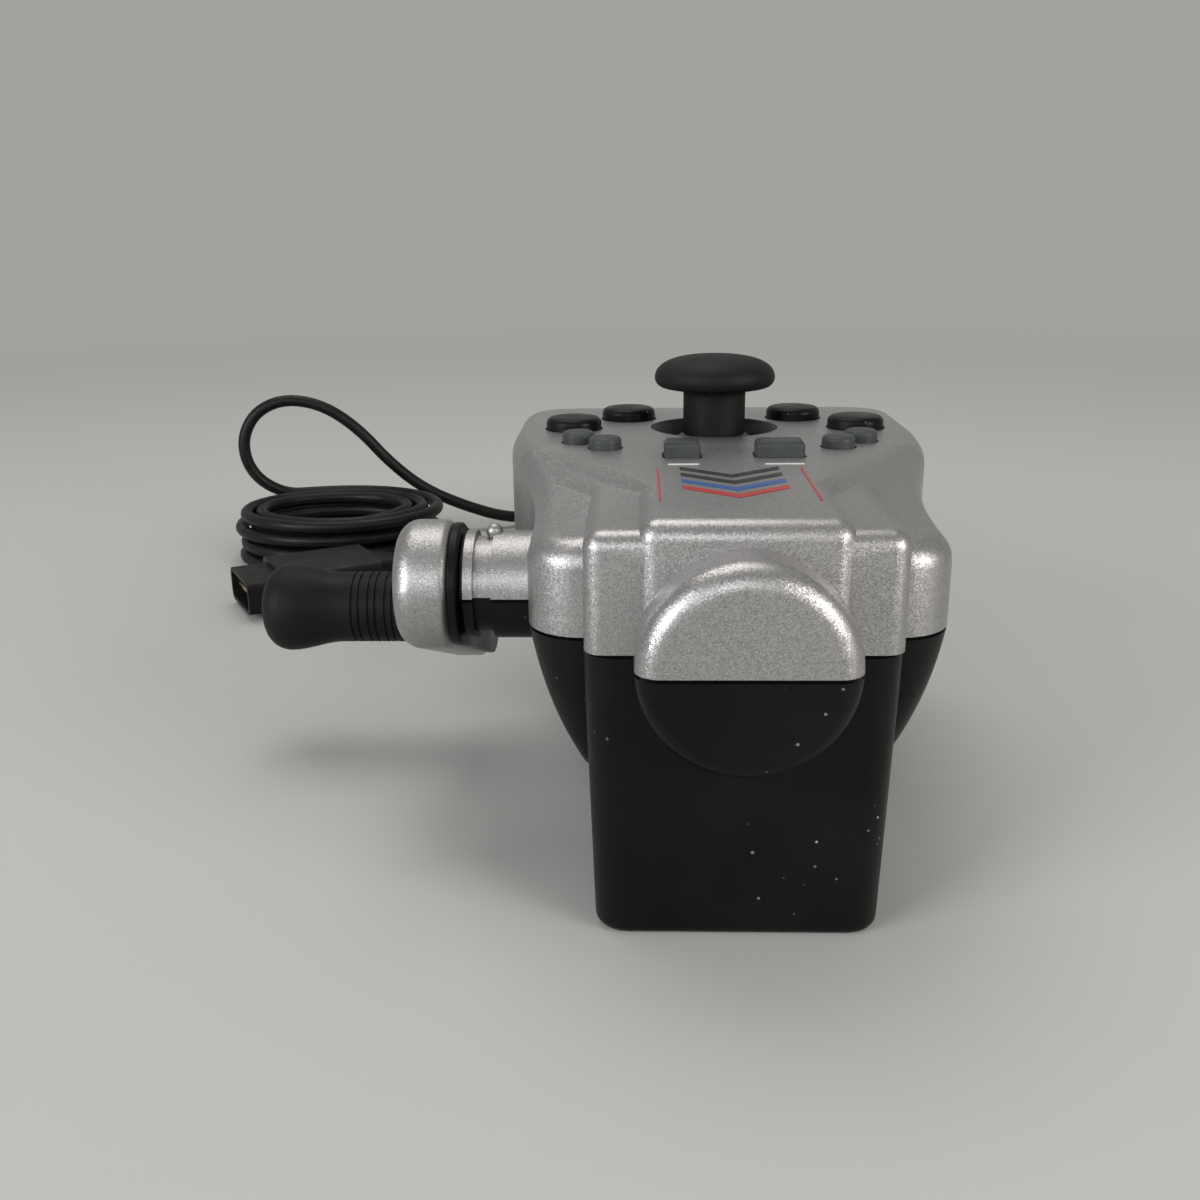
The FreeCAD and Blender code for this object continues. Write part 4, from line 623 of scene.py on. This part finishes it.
# Thumbstick. Mushroom-shaped rubber cap on a neck; below it a hard black dome closes the throat of a
# ring that sits in the plateau. It tips on a slotted yoke inside a steel case.
cap_low, cap_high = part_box("stick_cap")
stick_centre = Vector((0, (cap_low[1] + cap_high[1]) / 2, cap_low[2]))
cap_height = cap_high[2] - cap_low[2]
cap_radius = (cap_high[0] - cap_low[0]) / 2
neck_radius = 0.0056
neck_foot_radius = 0.0022
neck_fillet = 0.0014
lip_height = 0.0017
lip_width = 0.0018
lip_steps = 8
crown_steps = 18
crown_steepness = 0.9
crown_flatness = 0.72
cap_thickness = 0.0057
under = cap_height - cap_thickness
crown_height = cap_height - under - lip_height
cap_rings = [(0, neck_foot_radius), (0, neck_radius)]
cap_rings += [(under * share, neck_radius) for share in (0.3, 0.7)]
for number in range(lip_steps + 1):
    angle = math.pi / 2 * number / lip_steps
    cap_rings.append((under - neck_fillet + neck_fillet * math.sin(angle),
                      neck_radius + neck_fillet - neck_fillet * math.cos(angle)))
cap_rings += [(under, cap_radius - lip_width)]
for number in range(1, lip_steps + 1):
    angle = math.pi / 2 * number / lip_steps
    cap_rings.append((under + lip_height * (1 - math.cos(angle)),
                      cap_radius - lip_width + lip_width * math.sin(angle)))
for number in range(1, crown_steps + 1):
    angle = math.pi / 2 * number / crown_steps
    cap_rings.append((under + lip_height + crown_height * math.sin(angle) ** crown_steepness,
                      max(cap_radius * math.cos(angle) ** crown_flatness, pole_radius)))
stick_cap = raise_rings("stick_cap_rubber", stick_centre, cap_rings, smooth_angle=45)
settle(stick_cap, rubber_finish, "stick", "black_rubber", "stick_cap")
tree, shader, place, satin_finish = start_finish("satin_black", (0.007, 0.007, 0.0075), 0.36)
tree.links.new(spread(tree, grain(tree, place, 160, 5), 0.28, 0.44), shader.inputs["Roughness"])
raise_bumps(tree, shader, grain(tree, place, 2600, 2), 0.000015, 0.5)
for node in ("stick_dome", "stick_yoke"):
    dress(node, satin_finish)
ring_low, ring_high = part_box("stick_ring")
ring_centre = Vector((stick_centre.x, stick_centre.y, ring_low[2]))
ring_height = ring_high[2] - ring_low[2]
ring_flange = (ring_high[0] - ring_low[0]) / 2
ring_outside = 0.01145
ring_throat = 0.0099
ring_mouth = ring_outside - 0.0003
ring_edge = 0.0002
ring_flange_height = 0.0012
ring_steps = 8
ring_rings = [(0, ring_throat), (0, ring_throat + ring_edge), (ring_edge, ring_flange),
              (ring_flange_height, ring_flange), (ring_flange_height, ring_outside),
              (ring_height - ring_edge, ring_outside), (ring_height, ring_outside - ring_edge)]
for number in range(ring_steps + 1):
    share = number / ring_steps
    ring_rings.append((ring_height - ring_height * share,
                       ring_mouth - (ring_mouth - ring_throat) * math.sin(share * math.pi / 2)))
stick_ring = raise_rings("stick_throat", ring_centre, ring_rings, smooth_angle=35, closed=True)
settle(stick_ring, satin_finish, "housing", "black_shell", "stick_ring")


# Buttons. Hard moulded caps with a soft top edge, a flange that holds each below the plateau and a foot
# on its mat. The four large ones are gloss black, the small ones and both bars are smoky blue-grey.
def button_finish(name, colour, roughness, mirror):
    """Moulded plastic with faint haze and a few dust specks."""
    tree, shader, place, finish = start_finish(name, colour, roughness)
    shader.inputs["Specular IOR Level"].default_value = mirror
    haze = grain(tree, place, 220, 5)
    dust = dust_share(tree, place, 700, 0.09)
    duller = tuple(part * 1.25 + 0.004 for part in colour)
    base = blend_colours(tree, spread(tree, haze, 0, 1, 0.4, 0.75), colour, duller)
    tree.links.new(blend_colours(tree, dust, base, (0.3, 0.29, 0.27)), shader.inputs["Base Color"])
    tree.links.new(spread(tree, haze, roughness - 0.05, roughness + 0.1), shader.inputs["Roughness"])
    raise_bumps(tree, shader, grain(tree, place, 1800, 2), 0.00001, 0.5)
    return finish


black_button_finish = button_finish("black_button", (0.0045, 0.0045, 0.005), 0.30, 0.1)
grey_button_finish = button_finish("grey_button", (0.042, 0.047, 0.046), 0.36, 0.16)
plateau_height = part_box("top_shell")[1][2]
flange_drop = 0.0023
flange_top = plateau_height - flange_drop
flange_thickness = 0.0012
flange_width = 0.0008
widest_foot = 0.003
crown_rise = 0.00015
crown_inner_drop = 0.00006
crown_inner_share = 0.55
for kind, edge_round, finish, slot in (("round_button", 0.0011, black_button_finish, "black_button"),
                                       ("small_button", 0.0008, grey_button_finish, "grey_button")):
    for node in [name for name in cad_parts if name.startswith(kind)]:
        low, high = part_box(node)
        radius = (high[0] - low[0]) / 2 - flange_width
        centre = Vector(((low[0] + high[0]) / 2, (low[1] + high[1]) / 2, low[2]))
        flange_low = flange_top - flange_thickness - low[2]
        foot_radius = min(widest_foot, radius)
        rings = [(0, pole_radius), (0, foot_radius), (flange_low, foot_radius)]
        rings += [(flange_low, radius + flange_width), (flange_top - low[2], radius + flange_width)]
        rings += [(flange_top - low[2], radius)]
        height = high[2] - low[2]
        rings += arc_rings(height - edge_round - crown_rise, radius - edge_round, edge_round, 0, 80, 7)
        rings += [(height - crown_inner_drop, radius * crown_inner_share), (height, pole_radius)]
        button = raise_rings(node + "_cap", centre, rings, sides=72, smooth_angle=40)
        settle(button, finish, node, slot, node)


bar_corner = 0.0009
bar_edge_round = 0.0006
bar_sink = 0.0003
bar_flange_corner = 0.0008
bar_foot_radius = 0.0025
bar_foot_height = 0.0015


def block_button(node):
    """Bar button: a block with round corners and a soft top edge, a wider block as flange, and a foot."""
    low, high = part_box(node)
    width = high[0] - low[0] - 2 * flange_width
    depth = high[1] - low[1] - 2 * flange_width
    centre = Vector(((low[0] + high[0]) / 2, (low[1] + high[1]) / 2, 0))
    cap_block = (0, flange_top - bar_sink, high[2], bar_corner, bar_edge_round)
    flange_block = (flange_width, flange_top - flange_thickness, flange_top, bar_flange_corner, 0)
    pieces = []
    for extra, bottom, top, corner, edge_round in (cap_block, flange_block):
        bpy.ops.mesh.primitive_cube_add(size=1, location=(centre.x, centre.y, (bottom + top) / 2))
        piece = bpy.context.object
        bpy.ops.transform.resize(value=(width + 2 * extra, depth + 2 * extra, top - bottom),
                                 center_override=(centre.x, centre.y, (bottom + top) / 2))
        bpy.ops.object.transform_apply(location=True, rotation=True, scale=True)
        bpy.ops.object.mode_set(mode="EDIT")
        bpy.ops.mesh.select_mode(type="EDGE")
        bpy.ops.mesh.select_all(action="DESELECT")
        shape = bmesh.from_edit_mesh(piece.data)
        for edge in shape.edges:
            one, other = edge.verts
            edge.select = abs(one.co.z - other.co.z) > hair
        shape.select_flush(True)
        bmesh.update_edit_mesh(piece.data)
        bpy.ops.mesh.bevel(offset=corner, segments=6, affect="EDGES")
        if edge_round:
            select_by(piece, lambda spot: spot.z > top - hair)
            bpy.ops.mesh.region_to_loop()
            bpy.ops.mesh.bevel(offset=edge_round, segments=5, affect="EDGES")
        bpy.ops.object.mode_set(mode="OBJECT")
        pieces.append(piece)
    bpy.ops.mesh.primitive_cylinder_add(vertices=48, radius=bar_foot_radius, depth=bar_foot_height,
                                        location=(centre.x, centre.y, low[2] + bar_foot_height / 2))
    pieces.append(bpy.context.object)
    bpy.ops.object.select_all(action="DESELECT")
    for piece in pieces:
        piece.select_set(True)
    bpy.context.view_layer.objects.active = pieces[0]
    bpy.ops.object.join()
    return finish_shape(pieces[0], 35, node + "_cap", outward=True)


for node in ("select_button", "start_button"):
    settle(block_button(node), grey_button_finish, node, "grey_button", node)


# Upper housing shell. Silver painted moulding with the raised spine, stepped shoulders and scooped
# fenders. It meets the lower shell at a fine dark seam, and screws from below hold the two together.
upper_shell = merged_copy("top_shell", "upper_shell", 34)
settle(upper_shell, silver_finish, "housing", "silver_shell", "top_shell")


# Handle. Stippled black rubber sleeve over the shells' tail, with a band of finger grooves, and a butt
# cap with a flat where it stands on the ground.
tree, shader, place, grip_finish = start_finish("grip_rubber", (0.013, 0.013, 0.0134), 0.62)
shader.inputs["Specular IOR Level"].default_value = 0.3
stipple = cells(tree, place, 900)
raise_bumps(tree, shader, spread(tree, stipple, 1, 0, 0.1, 0.6), 0.00012, 0.9)
tree.links.new(spread(tree, grain(tree, place, 90, 4), 0.55, 0.75), shader.inputs["Roughness"])
for node, name in (("grip_sleeve", "grip"), ("butt_cap", "butt")):
    settle(merged_copy(node, name, 35), grip_finish, "housing", "black_rubber", node)


# Print on the spine. A bare decal place with two red lines and four chevrons, one red, one blue and two
# dark, and white ticks in front of both bar buttons. Each is a thin film on the paint.
film_gap = 0.00003
film_thickness = 0.00005


def film(name, corners, colour):
    """Flat printed patch just over the plateau, thickened to a thin film."""
    mesh = bpy.data.meshes.new(name)
    height = plateau_height + film_gap
    mesh.from_pydata([(x, y, height) for x, y in corners], [], [tuple(range(len(corners)))])
    patch = bpy.data.objects.new(name, mesh)
    bpy.context.collection.objects.link(patch)
    bpy.ops.object.select_all(action="DESELECT")
    patch.select_set(True)
    bpy.context.view_layer.objects.active = patch
    bpy.ops.object.mode_set(mode="EDIT")
    bpy.ops.mesh.select_all(action="SELECT")
    bpy.ops.mesh.extrude_region_move(TRANSFORM_OT_translate={"value": (0, 0, film_thickness)})
    bpy.ops.mesh.select_all(action="SELECT")
    bpy.ops.mesh.normals_make_consistent(inside=False)
    bpy.ops.object.mode_set(mode="OBJECT")
    tree, shader, place, finish = start_finish(name, colour, 0.35)
    wear = grain(tree, place, 900, 4)
    faded = tuple(part * 0.7 + 0.03 for part in colour)
    worn = blend_colours(tree, spread(tree, wear, 0, 1, 0.45, 0.8), colour, faded)
    tree.links.new(worn, shader.inputs["Base Color"])
    patch.data.materials.append(finish)
    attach(patch, "housing")


red = (0.42, 0.02, 0.02)
blue = (0.02, 0.09, 0.30)
dark = (0.012, 0.012, 0.014)
white = (0.75, 0.75, 0.73)
line_inside = 0.0107
line_outside = 0.0110
line_front = -0.0262
line_rear = -0.0042
for name, side in (("red_line_left", -1), ("red_line_right", 1)):
    inside = side * line_inside
    outside = side * line_outside
    film(name, ((inside, line_front), (outside, line_front), (outside, line_rear), (inside, line_rear)), red)
chevron_half_width = 0.0075
chevron_thickness = 0.0021
chevron_sweep = chevron_half_width * 0.8
chevron_step = 0.0045
first_chevron = -0.0245
for number, colour in enumerate((red, blue, dark, dark)):
    tip = first_chevron + number * chevron_step
    back = tip + chevron_sweep
    film("chevron_" + str(number + 1),
         ((0, tip), (chevron_half_width, back), (chevron_half_width, back + chevron_thickness),
          (0, tip + chevron_thickness), (-chevron_half_width, back + chevron_thickness),
          (-chevron_half_width, back)), colour)
tick_front = -0.0012
tick_rear = -0.0004
for name, middle, half_width in (("select_tick", 0.0088, 0.0030), ("start_tick", -0.0068, 0.0024)):
    left = middle - half_width
    right = middle + half_width
    film(name, ((left, tick_front), (right, tick_front), (right, tick_rear), (left, tick_rear)), white)
